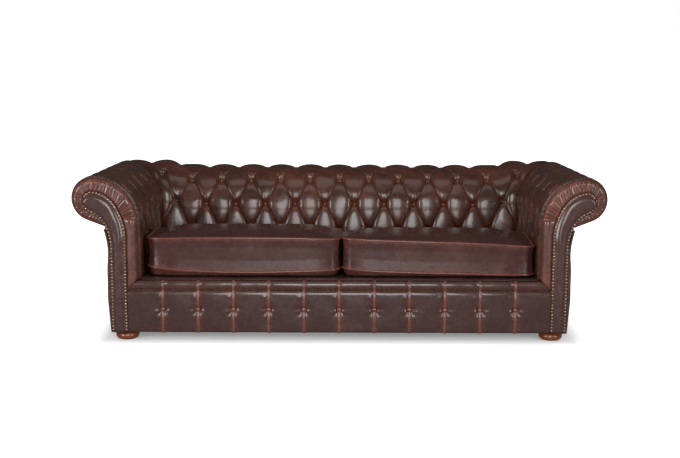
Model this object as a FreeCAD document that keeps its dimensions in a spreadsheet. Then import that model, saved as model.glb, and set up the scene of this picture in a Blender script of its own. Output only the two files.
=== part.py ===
import FreeCAD, Part
import math
import os
import Sketcher
from FreeCAD import Placement, Rotation, Vector

# Chesterfield sofa, millimetres. Origin on the floor under the middle, +Z up, the front faces -Y.
# "Run" is the distance from a middle plane of the sofa to a point of the wall beside it:
# an arm's run is X, the back's run is Y plus the depth of the corner, so both walls share one profile.

doc = FreeCAD.newDocument("chesterfield_sofa")
sheet = doc.addObject("Spreadsheet::Sheet", "sizes")

DRIVING_SIZES = [
    # Whole sofa
    ("overall_width", 2300), ("overall_depth", 950), ("overall_height", 712),
    ("arm_width", 292), ("back_thickness", 292), ("back_drop", 22), ("body_overhang", 155),
    # Rolls of the arms and the back
    ("arm_roll_rise", 194), ("back_roll_rise", 204), ("neck_drop", 223), ("neck_angle", 69),
    ("neck_flare", 5), ("cover_depth", 48), ("foam_clearance", 2), ("foam_thickness", 19.7),
    ("webbing_thickness", 2), ("soft_clearance", 0.3),
    # Tufting
    ("tuft_columns", 5), ("corner_margin", 133), ("button_width", 20), ("button_height", 5),
    ("pit_width", 22), ("pleat_width", 8), ("tuft_backing", 8), ("crown_tuft_depth", 22),
    ("valley_rise", 0.4), ("full_lobe_share", 0.62), ("post_margin", 6),
    ("pleat_depth", 15), ("mitre_depth", 8), ("row_c_drop", 92.6), ("row_b_angle", 8),
    ("row_a_angle", 48), ("row_z_angle", 82.5),
    # Front
    ("nail_height", 3), ("nail_width", 9.6), ("nail_pitch", 14), ("nail_inset", 6),
    ("facing_thickness", 14), ("post_thickness", 28), ("border_setback", 9),
    ("band_width", 55), ("facing_side_edge", 13), ("border_inset", 8), ("border_rounding", 20),
    ("lip_height", 40), ("lip_slant", 36), ("plinth_fold", 9), ("scroll_centre_run", 200),
    ("scroll_centre_drop", 104), ("plinth_hem", 2.5), ("plinth_pleats", 11),
    ("plinth_pleat_width", 10), ("plinth_pleat_rise", 2), ("plinth_button_height", 138),
    # Frame
    ("foot_height", 38), ("foot_width", 100), ("bolt_inset", 33), ("front_bolt_setback", 12),
    ("rear_bolt_setback", 28), ("rail_thickness", 30), ("front_rail_thickness", 25),
    ("back_rail_thickness", 28), ("rail_top", 222), ("side_rail_height", 152),
    ("block_size", 60), ("block_height", 60), ("stretcher_offset", 300),
    ("stretcher_thickness", 25), ("stretcher_height", 90), ("stretcher_lift", 22),
    ("stuffing_rail_height", 35), ("stuffing_rail_depth", 30), ("stuffing_rail_lift", 13),
    ("top_rail_inset", 142), ("top_rail_width", 56), ("top_rail_height", 36),
    ("rib_thickness", 25), ("webbing_width", 50), ("webbing_pitch", 145),
    ("dust_cover_thickness", 1.5),
    # Seat
    ("spring_wire", 4), ("spring_width", 50), ("spring_turn", 30), ("springs", 9),
    ("clip_width", 16), ("clip_plate", 1.5), ("clip_depth", 14), ("tie_wire", 3),
    ("tie_wires", 3), ("tie_wire_pitch", 180), ("hessian_thickness", 2),
    ("platform_thickness", 34.7), ("platform_margin", 3), ("wire_clearance", 0.1),
    # Loose cushions
    ("cushion_front_inset", 60), ("cushion_rear_gap", 5), ("cushion_split", 8),
    ("cushion_gap", 3), ("left_cushion_side_gap", 15), ("right_cushion_side_gap", 1),
    ("lower_piping_rise", 29), ("left_piping_rise", 172), ("right_piping_rise", 156),
    ("cushion_crown", 20), ("cushion_corner", 45), ("cushion_waist", 7),
    # Foot fixings
    ("bolt_width", 8), ("bolt_depth", 24), ("bolt_hole", 8.4), ("nut_barrel", 10),
    ("nut_flange", 22), ("nut_flange_thickness", 1.6), ("nut_length", 11), ("nut_hole", 10.4),
]

DERIVED_SIZES = [
    ("half_width", "=overall_width / 2"),
    ("front_plane", "=-overall_depth / 2"),
    ("inner_run", "=half_width - arm_width"),
    ("back_plane", "=overall_depth / 2 - back_thickness"),
    ("run_shift", "=inner_run - back_plane"),
    ("back_extreme", "=overall_depth / 2 + run_shift"),
    ("body_run", "=half_width - body_overhang"),
    ("arm_top", "=overall_height"),
    ("back_top", "=overall_height - back_drop"),
    ("arm_shoulder", "=arm_top - arm_roll_rise"),
    ("back_shoulder", "=back_top - back_roll_rise"),
    ("neck_height", "=overall_height - neck_drop"),
    ("tuft_depth", "=cover_depth - tuft_backing"),
    ("frame_inner",
     "=cover_depth + foam_clearance + foam_thickness + soft_clearance + webbing_thickness"),
    ("facing_face", "=front_plane + nail_height"),
    ("post_front", "=facing_face + facing_thickness"),
    ("post_back", "=post_front + post_thickness"),
    ("border_face", "=front_plane + border_setback"),
    ("facing_in", "=inner_run + band_width"),
    ("frame_run", "=body_run - facing_side_edge"),
    ("frame_rear", "=frame_run - run_shift"),
    ("rail_front", "=post_back - front_rail_thickness"),
    ("rear_rail_front", "=frame_rear - back_rail_thickness"),
    ("inner_frame_run", "=inner_run + frame_inner"),
    ("stuffing_back", "=inner_frame_run + stuffing_rail_depth"),
    ("top_rail_run", "=inner_run + top_rail_inset"),
    ("arm_rail_radius", "=arm_roll_rise - frame_inner"),
    ("back_rail_radius", "=back_roll_rise - frame_inner"),
    ("arm_rail_top",
     "=arm_shoulder + sqrt(arm_rail_radius ^ 2 - (arm_roll_rise - top_rail_inset) ^ 2)"),
    ("back_rail_top",
     "=back_shoulder + sqrt(back_rail_radius ^ 2 - (back_roll_rise - top_rail_inset) ^ 2)"),
    ("tuft_pitch", "=(inner_run - corner_margin) / tuft_columns"),
    ("block_run", "=frame_run - rail_thickness - block_size"),
    ("foot_run", "=block_run + bolt_inset"),
    ("front_foot_place", "=post_back + front_bolt_setback"),
    ("rear_foot_place", "=rear_rail_front - rear_bolt_setback"),
    ("outer_rib_offset", "=inner_run + rib_thickness / 2"),
    ("inner_rib_offset", "=outer_rib_offset / 3"),
    ("stuffing_rail_foot", "=rail_top + stuffing_rail_lift"),
    ("stuffing_rail_top", "=stuffing_rail_foot + stuffing_rail_height"),
    ("spring_pitch", "=2 * inner_run / springs"),
    ("spring_foot", "=rail_top + clip_plate + wire_clearance"),
    ("tie_foot", "=spring_foot + spring_wire + wire_clearance"),
    ("hessian_foot", "=tie_foot + tie_wire + soft_clearance"),
    ("platform_foot", "=hessian_foot + hessian_thickness + soft_clearance"),
    ("seat_deck_height", "=platform_foot + platform_thickness"),
    ("seat_tuck", "=seat_deck_height + 2 * soft_clearance"),
    ("platform_run", "=inner_frame_run - platform_margin"),
    ("row_c_share", "=(back_shoulder - row_c_drop - seat_tuck) / (back_shoulder - seat_tuck)"),
    ("plinth_pleat_pitch", "=2 * facing_in / (plinth_pleats + 1)"),
    ("lip_foot", "=rail_top + soft_clearance"),
    ("lip_top", "=rail_top + lip_height"),
    ("lower_piping", "=seat_deck_height + lower_piping_rise"),
]


def fill_sheet():
    """Writes each size as text beside its name, and gives the cell that name."""
    for row, (name, content) in enumerate(DRIVING_SIZES + DERIVED_SIZES, start=1):
        sheet.set("A%d" % row, name)
        sheet.set("B%d" % row, str(content))
        sheet.setAlias("B%d" % row, name)
    doc.recompute()


def size(name):
    """A size from the sheet, in millimetres."""
    return float(sheet.get(name))


fill_sheet()

SUBPARTS = []


def bound(expression):
    """The sheet's names in an expression, as the rest of the document reads them."""
    words = []
    word = ""
    for letter in expression + " ":
        if letter.isalnum() or letter == "_":
            word += letter
            continue
        is_size = word and not word[0].isdigit() and word not in ("sqrt", "cos", "sin", "deg")
        words.append("sizes." + word if is_size else word)
        words.append(letter)
        word = ""
    return "".join(words).strip()


def keep(item, label):
    """Names a finished sub-part, which then gets a file of its own."""
    item.Label = label
    SUBPARTS.append(item)
    return item


def mirror(item, label):
    """The same piece on the left side."""
    other = doc.addObject("Part::Mirroring", label)
    other.Source = item
    other.Base = Vector(0, 0, 0)
    other.Normal = Vector(1, 0, 0)
    return other


def keep_pair(item, name):
    """Keeps a right-hand piece and its left-hand twin."""
    keep(item, "right_" + name)
    keep(mirror(item, "left_" + name), "left_" + name)


def new_sketch(body, role, name):
    """A sketch on one of a body's own origin planes."""
    sketch = body.newObject("Sketcher::SketchObject", name)
    plane = [item for item in body.Origin.OriginFeatures if item.Role == role][0]
    sketch.AttachmentSupport = [(plane, "")]
    sketch.MapMode = "FlatFace"
    return sketch


def place(item, x="0", y="0", z="0"):
    """Binds the place of an object to the sheet."""
    item.setExpression("Placement.Base.x", bound(x))
    item.setExpression("Placement.Base.y", bound(y))
    item.setExpression("Placement.Base.z", bound(z))


def rectangle(sketch, width, depth):
    """A rectangle from the sketch's origin, with both sides bound to the sheet."""
    corners = [Vector(0, 0, 0), Vector(100, 0, 0), Vector(100, 60, 0), Vector(0, 60, 0)]
    for start, end in zip(corners, corners[1:] + corners[:1]):
        sketch.addGeometry(Part.LineSegment(start, end), False)
    for first in range(4):
        sketch.addConstraint(Sketcher.Constraint("Coincident", first, 2, (first + 1) % 4, 1))
    sketch.addConstraint(Sketcher.Constraint("Horizontal", 0))
    sketch.addConstraint(Sketcher.Constraint("Horizontal", 2))
    sketch.addConstraint(Sketcher.Constraint("Vertical", 1))
    sketch.addConstraint(Sketcher.Constraint("Vertical", 3))
    sketch.addConstraint(Sketcher.Constraint("Coincident", 0, 1, -1, 1))
    for edge, expression in ((0, width), (1, depth)):
        index = sketch.addConstraint(Sketcher.Constraint("Distance", edge, 50))
        sketch.setExpression("Constraints[%d]" % index, bound(expression))


def board(name, x, y, z, hole=None):
    """A straight board between two bounds along each axis, with a round hole if one is given."""
    body = doc.addObject("PartDesign::Body", name)
    sketch = new_sketch(body, "XY_Plane", name + "_outline")
    rectangle(sketch, "(%s) - (%s)" % (x[1], x[0]), "(%s) - (%s)" % (y[1], y[0]))
    if hole:
        circle = sketch.addGeometry(Part.Circle(Vector(30, 30, 0), Vector(0, 0, 1), 5), False)
        radius = sketch.addConstraint(Sketcher.Constraint("Radius", circle, 5))
        across = sketch.addConstraint(Sketcher.Constraint("DistanceX", -1, 1, circle, 3, 30))
        along = sketch.addConstraint(Sketcher.Constraint("DistanceY", -1, 1, circle, 3, 30))
        sketch.setExpression("Constraints[%d]" % radius, bound("(%s) / 2" % hole[2]))
        sketch.setExpression("Constraints[%d]" % across, bound("(%s) - (%s)" % (hole[0], x[0])))
        sketch.setExpression("Constraints[%d]" % along, bound("(%s) - (%s)" % (hole[1], y[0])))
    pad = body.newObject("PartDesign::Pad", name + "_pad")
    pad.Profile = sketch
    pad.setExpression("Length", bound("(%s) - (%s)" % (z[1], z[0])))
    place(body, x[0], y[0], z[0])
    return body


def outline_board(name, role, edges, length, y="0", x="0"):
    """A board sawn to an outline, which a sketch holds on the upright plane of the given role."""
    body = doc.addObject("PartDesign::Body", name)
    sketch = new_sketch(body, role, name + "_outline")
    for edge in edges:
        sketch.addGeometry(edge, False)
    pad = body.newObject("PartDesign::Pad", name + "_pad")
    pad.Profile = sketch
    pad.setExpression("Length", bound(length))
    place(body, x, y)
    return body


def feature(name, shape):
    """An object whose shape the functions below make from the sheet's sizes."""
    item = doc.addObject("Part::Feature", name)
    item.Shape = shape
    item.Placement = Placement()
    return item


def group(label, items):
    """Several like pieces in one node."""
    holder = doc.addObject("Part::Compound", label)
    holder.Links = items
    return keep(holder, label)


def polar(centre, radius, degrees):
    """A point of a circle in the (run, height) plane."""
    angle = math.radians(degrees)
    return (centre[0] + radius * math.cos(angle), centre[1] + radius * math.sin(angle))


# The profile that the arms and the back share, from the seat up, over the roll and in to the neck


class Profile:
    """A wall's outer line: a straight rise, an arc over the shoulder and a tighter arc round the roll."""

    def __init__(self, top, shoulder, extreme):
        self.inner = size("inner_run")
        self.shoulder = shoulder
        self.radius = top - shoulder
        self.centre = (self.inner + self.radius, shoulder)
        self.roll_radius = extreme - self.centre[0]
        self.roll_centre = (self.centre[0], top - self.roll_radius)

    def point(self, part, value, depth):
        """The (run, height) of a point at a depth inside the outer line."""
        if part == "rise":
            foot = size("seat_tuck")
            return (self.inner + depth, foot + value * (self.shoulder - foot))
        if part == "shoulder":
            return polar(self.centre, self.radius - depth, 180 - value)
        if part == "roll":
            return polar(self.roll_centre, self.roll_radius - depth, value)
        slope = math.radians(90 - size("neck_angle"))
        neck = (size("body_run") + size("neck_flare"), size("neck_height"))
        return (neck[0] - depth * math.sin(slope), neck[1] + depth * math.cos(slope))

    def outward(self, part, value):
        """The direction out of the cover, in (run, height)."""
        if part == "rise":
            return (-1.0, 0.0)
        angle = math.radians(180 - value if part == "shoulder" else value)
        return (math.cos(angle), math.sin(angle))


ARM = Profile(size("arm_top"), size("arm_shoulder"), size("half_width"))
BACK = Profile(size("back_top"), size("back_shoulder"), size("back_extreme"))
RUN_SHIFT = size("run_shift")


def flat_wire(points):
    """A closed wire of lines, and of arcs where a middle point comes with the end point."""
    edges = []
    start = points[0]
    for item in points[1:] + points[:1]:
        if len(item) == 2 and isinstance(item[0], Vector):
            edges.append(Part.Arc(start, item[0], item[1]).toShape())
            start = item[1]
        else:
            edges.append(Part.LineSegment(start, item).toShape())
            start = item
    return Part.Wire(edges)


def arm_point(run, along, height):
    """A point of the right arm, where along is measured as the back's run."""
    return Vector(run, along - RUN_SHIFT, height)


def back_point(run, along, height):
    """A point of the back, where along is X."""
    return Vector(along, run - RUN_SHIFT, height)


def mitre_block(for_arm):
    """The space on one side of the mitre at the right rear corner, of the arm or of the back."""
    reach = size("overall_width") + size("overall_depth")
    near = Vector(-reach, -reach - RUN_SHIFT, -reach)
    far = Vector(reach, reach - RUN_SHIFT, -reach)
    corner = Vector(reach, -reach - RUN_SHIFT, -reach)
    if not for_arm:
        corner = Vector(-reach, reach - RUN_SHIFT, -reach)
    return Part.Face(flat_wire([near, far, corner])).extrude(Vector(0, 0, 2 * reach))


def arm_run(outline, front):
    """A piece of constant section along the right arm, from a front plane to the mitre."""
    wire = flat_wire(outline(lambda run, height: Vector(run, front, height)))
    return Part.Face(wire).extrude(Vector(0, size("overall_depth"), 0)).common(mitre_block(True))


def back_run(outline, reach):
    """A piece of constant section along the back, as far to both sides as given or to the mitres."""
    wire = flat_wire(outline(lambda run, height: Vector(-reach, run - RUN_SHIFT, height)))
    solid = Part.Face(wire).extrude(Vector(2 * reach, 0, 0)).common(mitre_block(False))
    return solid.common(mitre_block(False).mirror(Vector(0, 0, 0), Vector(1, 0, 0)))


# Tufted covers

# Each station across the wall: part of the profile, value there, how far the creases have moved
# from the one set of columns to the other, width of the narrow lobes, depth of the creases, and
# how much of the cover's full depth is left


def tuft_stations():
    """The stations from the seat up to the neck."""
    pit = size("pit_width")
    pleat = size("pleat_width")
    deep = size("tuft_depth")
    middle = 0.6 * deep
    crown = size("crown_tuft_depth")
    fold = size("pleat_depth")
    row_c = size("row_c_share")
    rise = ARM.shoulder - size("seat_tuck")
    row_b, row_a, row_z = size("row_b_angle"), size("row_a_angle"), size("row_z_angle")
    near = 0.5 * pit / rise
    turn = math.degrees(0.5 * pit / (ARM.radius - deep))
    third_b = (row_a - row_b - 2 * turn) / 3
    third_a = (row_z - row_a - 2 * turn) / 3
    return [
        ("rise", 0.0, 0.0, pleat, 0.3 * deep, 1.0),
        ("rise", 0.5 * row_c, 0.0, pleat, 0.5 * deep, 1.0),
        ("rise", row_c - near, 0.0, pit, deep, 1.0),
        ("rise", row_c + near, 0.0, pit, deep, 1.0),
        ("rise", row_c + 0.33 * (1 - row_c), 1 / 3, pit, middle, 1.0),
        ("rise", row_c + 0.67 * (1 - row_c), 2 / 3, pit, middle, 1.0),
        ("shoulder", row_b - turn, 1.0, pit, deep, 1.0),
        ("shoulder", row_b + turn, 1.0, pit, deep, 1.0),
        ("shoulder", row_b + turn + third_b, 2 / 3, pit, middle, 1.0),
        ("shoulder", row_b + turn + 2 * third_b, 1 / 3, pit, middle, 1.0),
        ("shoulder", row_a - turn, 0.0, pit, deep, 1.0),
        ("shoulder", row_a + turn, 0.0, pit, deep, 1.0),
        ("shoulder", row_a + turn + third_a, 1 / 3, pit, middle, 1.0),
        ("shoulder", row_a + turn + 2 * third_a, 2 / 3, pit, crown, 1.0),
        ("shoulder", row_z - turn, 1.0, pit, crown, 1.0),
        ("shoulder", row_z + turn, 1.0, pit, crown, 1.0),
        ("roll", 64.0, 1.0, pleat, fold, 1.0),
        ("roll", 32.0, 1.0, pleat, fold, 1.0),
        ("roll", 0.0, 1.0, pleat, fold, 1.0),
        ("roll", -34.0, 1.0, pleat, 0.6 * fold, 0.95),
        ("roll", -size("neck_angle"), 1.0, pleat, 0.3 * fold, 0.45),
        ("neck", 0.0, 1.0, pleat, 0.1 * fold, 0.18),
    ]


def lobe_depth(width, first, second):
    """Depth of the middle of a lobe: a wide one reaches the outer line, a narrow one stays flat."""
    narrow = size("pit_width")
    full = size("full_lobe_share") * size("tuft_pitch")
    share = min(1.0, max(0.0, (width - narrow) / (full - narrow)))
    return (1 - share) * 0.5 * (first + second) - (size("valley_rise") if share < 1 else 0.0)


# Least distance from the mitre of the last four creases, from the farthest to the nearest
MITRE_ROOM = [29, 7, 5, 3]


def column_creases(fold_share, narrow, end):
    """Places of the creases beside each column on one side, held inside the mitre."""
    pitch = size("tuft_pitch")
    wide = narrow + (pitch - 2 * narrow) * fold_share
    last = int(size("tuft_columns")) + 2
    creases = []
    for number in range(0, last + 1):
        for side in (-1, 1):
            creases.append(number * pitch + side * 0.5 * wide)
    # The corner column leans in beside the mitre, and what has no room lies close to it
    for index, margin in enumerate(MITRE_ROOM):
        creases[index - len(MITRE_ROOM)] = min(creases[index - len(MITRE_ROOM)], end - margin)
    return creases


def section_edges(points, depths, at):
    """The lobes of one section, from crease to crease."""
    edges = []
    for index in range(len(points) - 1):
        width = points[index + 1] - points[index]
        middle = 0.5 * (points[index] + points[index + 1])
        mid_depth = lobe_depth(width, depths[index], depths[index + 1])
        start = at(points[index], depths[index])
        end = at(points[index + 1], depths[index + 1])
        edges.append(Part.Arc(start, at(middle, mid_depth), end).toShape())
    return edges


def arm_cover_section(station):
    """One section of the right arm's tufted cover, from the front end to the mitre."""
    part, value, fold_share, narrow, crease, depth_share = station
    depth = size("cover_depth") * depth_share
    mitre_depth = min(size("mitre_depth"), 0.5 * depth)
    front = size("post_back") + RUN_SHIFT

    def at(along, inside):
        run, height = ARM.point(part, value, inside)
        return arm_point(run, along, height)

    end = ARM.point(part, value, mitre_depth)[0]
    creases = column_creases(fold_share, narrow, end)
    creases = creases[2 * math.ceil((front + size("pit_width")) / size("tuft_pitch")):]
    creases[0] = max(creases[0], front + size("post_margin"))
    points = [front] + creases + [end]
    depths = [mitre_depth] + [crease] * len(creases) + [mitre_depth]
    edges = section_edges(points, depths, at)
    base_end = ARM.point(part, value, depth)[0]
    corners = [at(end, mitre_depth), at(base_end, depth), at(front, depth), at(front, mitre_depth)]
    for start, stop in zip(corners, corners[1:]):
        edges.append(Part.LineSegment(start, stop).toShape())
    return Part.Wire(edges)


def back_profile_at(along):
    """The back's profile, which rises to the arms' height from the last full column to the mitre."""
    last_column = size("inner_run") - size("corner_margin")
    share = (abs(along) - last_column) / size("corner_margin")
    share = min(1.0, max(0.0, share))
    share = share * share * (3 - 2 * share)
    top = size("back_top") + share * (size("arm_top") - size("back_top"))
    shoulder = BACK.shoulder + share * (ARM.shoulder - BACK.shoulder)
    extreme = size("back_extreme") + share * (size("half_width") - size("back_extreme"))
    return Profile(top, shoulder, extreme)


def back_cover_section(station):
    """One section of the back's tufted cover, from mitre to mitre."""
    part, value, fold_share, narrow, crease, depth_share = station
    depth = size("cover_depth") * depth_share
    mitre_depth = min(size("mitre_depth"), 0.5 * depth)

    def at(along, inside):
        run, height = back_profile_at(along).point(part, value, inside)
        return back_point(run, along, height)

    end = ARM.point(part, value, mitre_depth)[0]
    right = column_creases(fold_share, narrow, end)[1:]
    left = [-item for item in reversed(right)]
    points = [-end] + left + right + [end]
    depths = [mitre_depth] + [crease] * (len(left) + len(right)) + [mitre_depth]
    edges = section_edges(points, depths, at)
    base_end = ARM.point(part, value, depth)[0]
    last_column = size("inner_run") - size("corner_margin")
    corners = [at(end, mitre_depth), at(base_end, depth), at(last_column, depth)]
    corners += [at(-last_column, depth), at(-base_end, depth), at(-end, mitre_depth)]
    for start, stop in zip(corners, corners[1:]):
        edges.append(Part.LineSegment(start, stop).toShape())
    return Part.Wire(edges)


def tufted_cover(section):
    """A solid through all stations, straight from each to the next."""
    return Part.makeLoft([section(station) for station in tuft_stations()], True, True)


# Buttons


def dome(width, height):
    """A low dome that stands on the XY plane."""
    radius = (height ** 2 + (width / 2) ** 2) / (2 * height)
    ball = Part.makeSphere(radius, Vector(0, 0, height - radius))
    return ball.common(Part.makeCylinder(width, height))


def button_on(profile, part, value, along, inside, to_point):
    """A button that lies in a pit of the tufting, square to the wall."""
    run, height = profile.point(part, value, inside)
    out_run, out_height = profile.outward(part, value)
    foot = to_point(run, along, height)
    direction = to_point(run + out_run, along, height + out_height).sub(foot)
    button = dome(size("button_width"), size("button_height"))
    button.Placement = Placement(foot, Rotation(Vector(0, 0, 1), direction))
    return button


def button_rows():
    """Part, value, offset of the first column and depth of each row of buttons."""
    gap = size("valley_rise") + size("soft_clearance")
    deep = size("tuft_depth") - gap
    crown = size("crown_tuft_depth") - gap
    return [
        ("rise", size("row_c_share"), 0.0, deep),
        ("shoulder", size("row_b_angle"), 0.5, deep),
        ("shoulder", size("row_a_angle"), 0.0, deep),
        ("shoulder", size("row_z_angle"), 0.5, crown),
    ]


def back_buttons():
    """The buttons of the back, between the corner columns."""
    pitch = size("tuft_pitch")
    columns = int(size("tuft_columns"))
    buttons = []
    for part, value, offset, inside in button_rows():
        for number in range(-columns, columns + 1):
            along = (number + offset) * pitch
            if number < columns or offset == 0:
                buttons.append(button_on(BACK, part, value, along, inside, back_point))
    return Part.makeCompound(buttons)


def arm_buttons():
    """The buttons of the right arm, from the column behind the front post to the one by the corner."""
    pitch = size("tuft_pitch")
    front = size("post_back") + RUN_SHIFT
    columns = int(size("tuft_columns"))
    buttons = []
    for part, value, offset, inside in button_rows():
        for number in range(1, columns + 1):
            along = (number + offset) * pitch
            if along > front + size("pit_width"):
                buttons.append(button_on(ARM, part, value, along, inside, arm_point))
    return Part.makeCompound(buttons)


# Foam and webbing behind the covers


def foam_outline(profile, rail_top):
    """The pad behind a cover and the stuffing round its top rail."""
    clear = size("soft_clearance")
    outer = size("cover_depth") + size("foam_clearance")
    inner = outer + size("foam_thickness")
    rail_out = size("top_rail_run") + size("top_rail_width") + clear
    rail_foot = rail_top - size("top_rail_height")
    reach = profile.radius - inner
    meet_height = rail_top + size("webbing_thickness") + clear
    meet = math.degrees(math.asin((meet_height - profile.shoulder) / reach))
    touch = profile.point("shoulder", meet, inner)

    def outline(to_point):
        def on(part, value, depth):
            return to_point(*profile.point(part, value, depth))
        crest = polar(profile.roll_centre, profile.roll_radius - outer, 0)
        under = polar(profile.roll_centre, profile.roll_radius - outer, -50)
        return [
            on("rise", 0.0, outer), on("rise", 1.0, outer),
            (on("shoulder", 45, outer), on("shoulder", 90, outer)),
            to_point(*crest), to_point(*under), to_point(rail_out, rail_foot),
            to_point(rail_out, meet_height), to_point(touch[0], meet_height),
            (on("shoulder", 0.5 * meet, inner), on("rise", 1.0, inner)), on("rise", 0.0, inner),
        ]
    return outline


def web_outline(profile, rail_top):
    """One strip of webbing, from the stuffing rail to the top rail."""
    inner = size("frame_inner")
    outer = inner - size("webbing_thickness")
    end = math.degrees(math.asin((rail_top - profile.shoulder) / (profile.radius - inner)))
    foot = size("stuffing_rail_foot")
    run = size("inner_run")

    def outline(to_point):
        def on(value, depth):
            return to_point(*profile.point("shoulder", value, depth))
        return [
            to_point(run + outer, foot), on(0, outer), (on(0.5 * end, outer), on(end, outer)),
            on(end, inner), (on(0.5 * end, inner), on(0, inner)), to_point(run + inner, foot),
        ]
    return outline


def webbing(profile, rail_top, places, to_point):
    """Upright strips side by side."""
    strips = []
    width = size("webbing_width")
    for along in places:
        wire = flat_wire(web_outline(profile, rail_top)(lambda run, height: to_point(run, along, height)))
        across = to_point(0, along + width, 0).sub(to_point(0, along, 0))
        strips.append(Part.Face(wire).extrude(across))
    return Part.makeCompound(strips)


# Front of the arms


def scroll_outline(to_point, foot):
    """The outline of a facing or its board, with the scroll's points measured from the roll's centre."""
    run = size("inner_run") + size("scroll_centre_run")
    height = size("arm_top") - size("scroll_centre_drop")
    inner = size("facing_in")
    outer = size("frame_run")
    low = height - 187

    def about(across, up):
        return to_point(run + across, height + up)
    return [
        to_point(inner, foot), to_point(inner, low),
        (to_point(inner + 9, height - 92), about(-107, -22)),
        (about(-61, 25), about(2, 44)),
        (about(38, -5), about(3, -51)),
        (about(-30, -72), about(-50, -97)),
        (about(-69, -149.5), to_point(outer, height - 208)),
        to_point(outer, foot),
    ]


def wire_geometry(points):
    """Sketch geometry of an outline, given as flat points."""
    edges = []
    start = points[0]
    for item in points[1:] + points[:1]:
        if len(item) == 2 and isinstance(item[0], Vector):
            edges.append(Part.Arc(start, item[0], item[1]))
            start = item[1]
        else:
            edges.append(Part.LineSegment(start, item))
            start = item
    return edges


def sketch_point(across, up):
    return Vector(across, up, 0)


def facing_nails():
    """Nail heads side by side along the outline of the right facing."""
    foot = size("foot_height") + 2 * size("nail_inset")
    points = scroll_outline(lambda run, height: Vector(run, 0, height), size("foot_height") - 1)
    inset = flat_wire(points).makeOffset2D(-size("nail_inset"))
    count = int(inset.Length // size("nail_pitch"))
    heads = []
    for place_on in inset.discretize(Number=count)[:-1]:
        if place_on.z < foot:
            continue
        head = dome(size("nail_width"), size("nail_height"))
        spot = Vector(place_on.x, size("facing_face"), place_on.z)
        head.Placement = Placement(spot, Rotation(Vector(0, 0, 1), Vector(0, -1, 0)))
        heads.append(head)
    return Part.makeCompound(heads)


def border_wire(inset, place_y):
    """The roll's outer line, drawn in by an inset, closed inside the facing."""
    neck_run, neck_height = ARM.point("neck", 0, inset)
    lip_top = size("lip_top") + size("soft_clearance")
    lip_in = size("facing_in") - size("lip_slant")
    below = size("lip_foot")
    inside = size("facing_in") + 15

    def to_point(run, height):
        return Vector(run, place_y, height)

    def on(part, value):
        return to_point(*ARM.point(part, value, inset))
    points = [
        to_point(ARM.inner + inset, lip_top), on("rise", 1.0),
        (on("shoulder", 45), on("shoulder", 90)), (on("roll", 20), on("roll", -69)),
        to_point(neck_run, neck_height), to_point(inside + 45, neck_height - 60),
        to_point(inside, below), to_point(size("facing_in"), below), to_point(lip_in, lip_top),
    ]
    return flat_wire(points)


def scroll_border():
    """The padded border round the right facing, rounded at its front edge."""
    face = size("border_face")
    rear = size("post_back")
    inset = size("border_inset")
    rounding = size("border_rounding")
    steps = [(rear, 0.0), (face + rounding, 0.0), (face + 0.3 * rounding, 0.3), (face, 0.9)]
    wires = [border_wire(inset + rounding * share, place_y) for place_y, share in steps]
    ring = Part.makeLoft(wires, True, True)
    points = scroll_outline(lambda run, height: Vector(run, face - 10, height), 0)
    wider = flat_wire(points).makeOffset2D(size("soft_clearance"))
    hole = Part.Face(wider).extrude(Vector(0, rear - face + 20, 0))
    return ring.cut(hole)


def outside_outline(to_point):
    """The leather-covered board outside an arm or the back."""
    clear = size("soft_clearance")
    inner = size("frame_run") + clear
    outer = size("body_run")
    neck = size("neck_height")
    foot = size("foot_height") - 2
    flare = [
        (to_point(outer + 2, neck - 55), to_point(outer + 13, neck - 3)),
        to_point(outer + 5, neck - 3),
        (to_point(inner + 8.6, neck - 45), to_point(inner, neck - 89)),
    ]
    return [
        to_point(inner, foot), to_point(outer - 9, foot),
        (to_point(outer - 3, foot + 60), to_point(outer - 2, neck - 130)),
    ] + flare


# Front plinth and lip


def plinth_outline(to_point):
    """Section of the pad over the front rail, with the fold under the lip."""
    face = size("border_face")
    back = size("rail_front")
    foot = size("foot_height") - size("plinth_hem")
    top = size("rail_top") - size("plinth_fold")
    return [
        to_point(back, foot), to_point(face + 3, foot),
        (to_point(face + 0.8, foot + 1.5), to_point(face, foot + 5)), to_point(face, top - 7),
        (to_point(face + 2.2, top - 2.2), to_point(face + 7, top)),
        to_point(face + 7, size("rail_top")), to_point(back, size("rail_top")),
    ]


def pleat_places():
    """X of each pleat of the plinth."""
    count = int(size("plinth_pleats"))
    pitch = size("plinth_pleat_pitch")
    return [(number - (count - 1) / 2) * pitch for number in range(count)]


def front_plinth():
    """The pad over the front rail, with its sewn pleats."""
    reach = size("facing_in") - size("soft_clearance")
    wire = flat_wire(plinth_outline(lambda across, up: Vector(-reach, across, up)))
    pad = Part.Face(wire).extrude(Vector(2 * reach, 0, 0))
    face = size("border_face")
    foot = size("foot_height") - 2 * size("plinth_hem")
    top = size("rail_top") - size("plinth_fold") - 8
    width = size("plinth_pleat_width")
    rise = size("plinth_pleat_rise")
    for middle in pleat_places():
        start = Vector(middle - width / 2, face - rise, foot)
        pad = pad.fuse(Part.makeBox(width, rise + 4, top - foot, start))
    return pad.removeSplitter()


def front_buttons():
    """A button on each pleat."""
    buttons = []
    for middle in pleat_places():
        button = dome(size("button_width"), size("button_height"))
        face = size("border_face") - size("plinth_pleat_rise")
        spot = Vector(middle, face, size("plinth_button_height"))
        button.Placement = Placement(spot, Rotation(Vector(0, 0, 1), Vector(0, -1, 0)))
        buttons.append(button)
    return Part.makeCompound(buttons)


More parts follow.
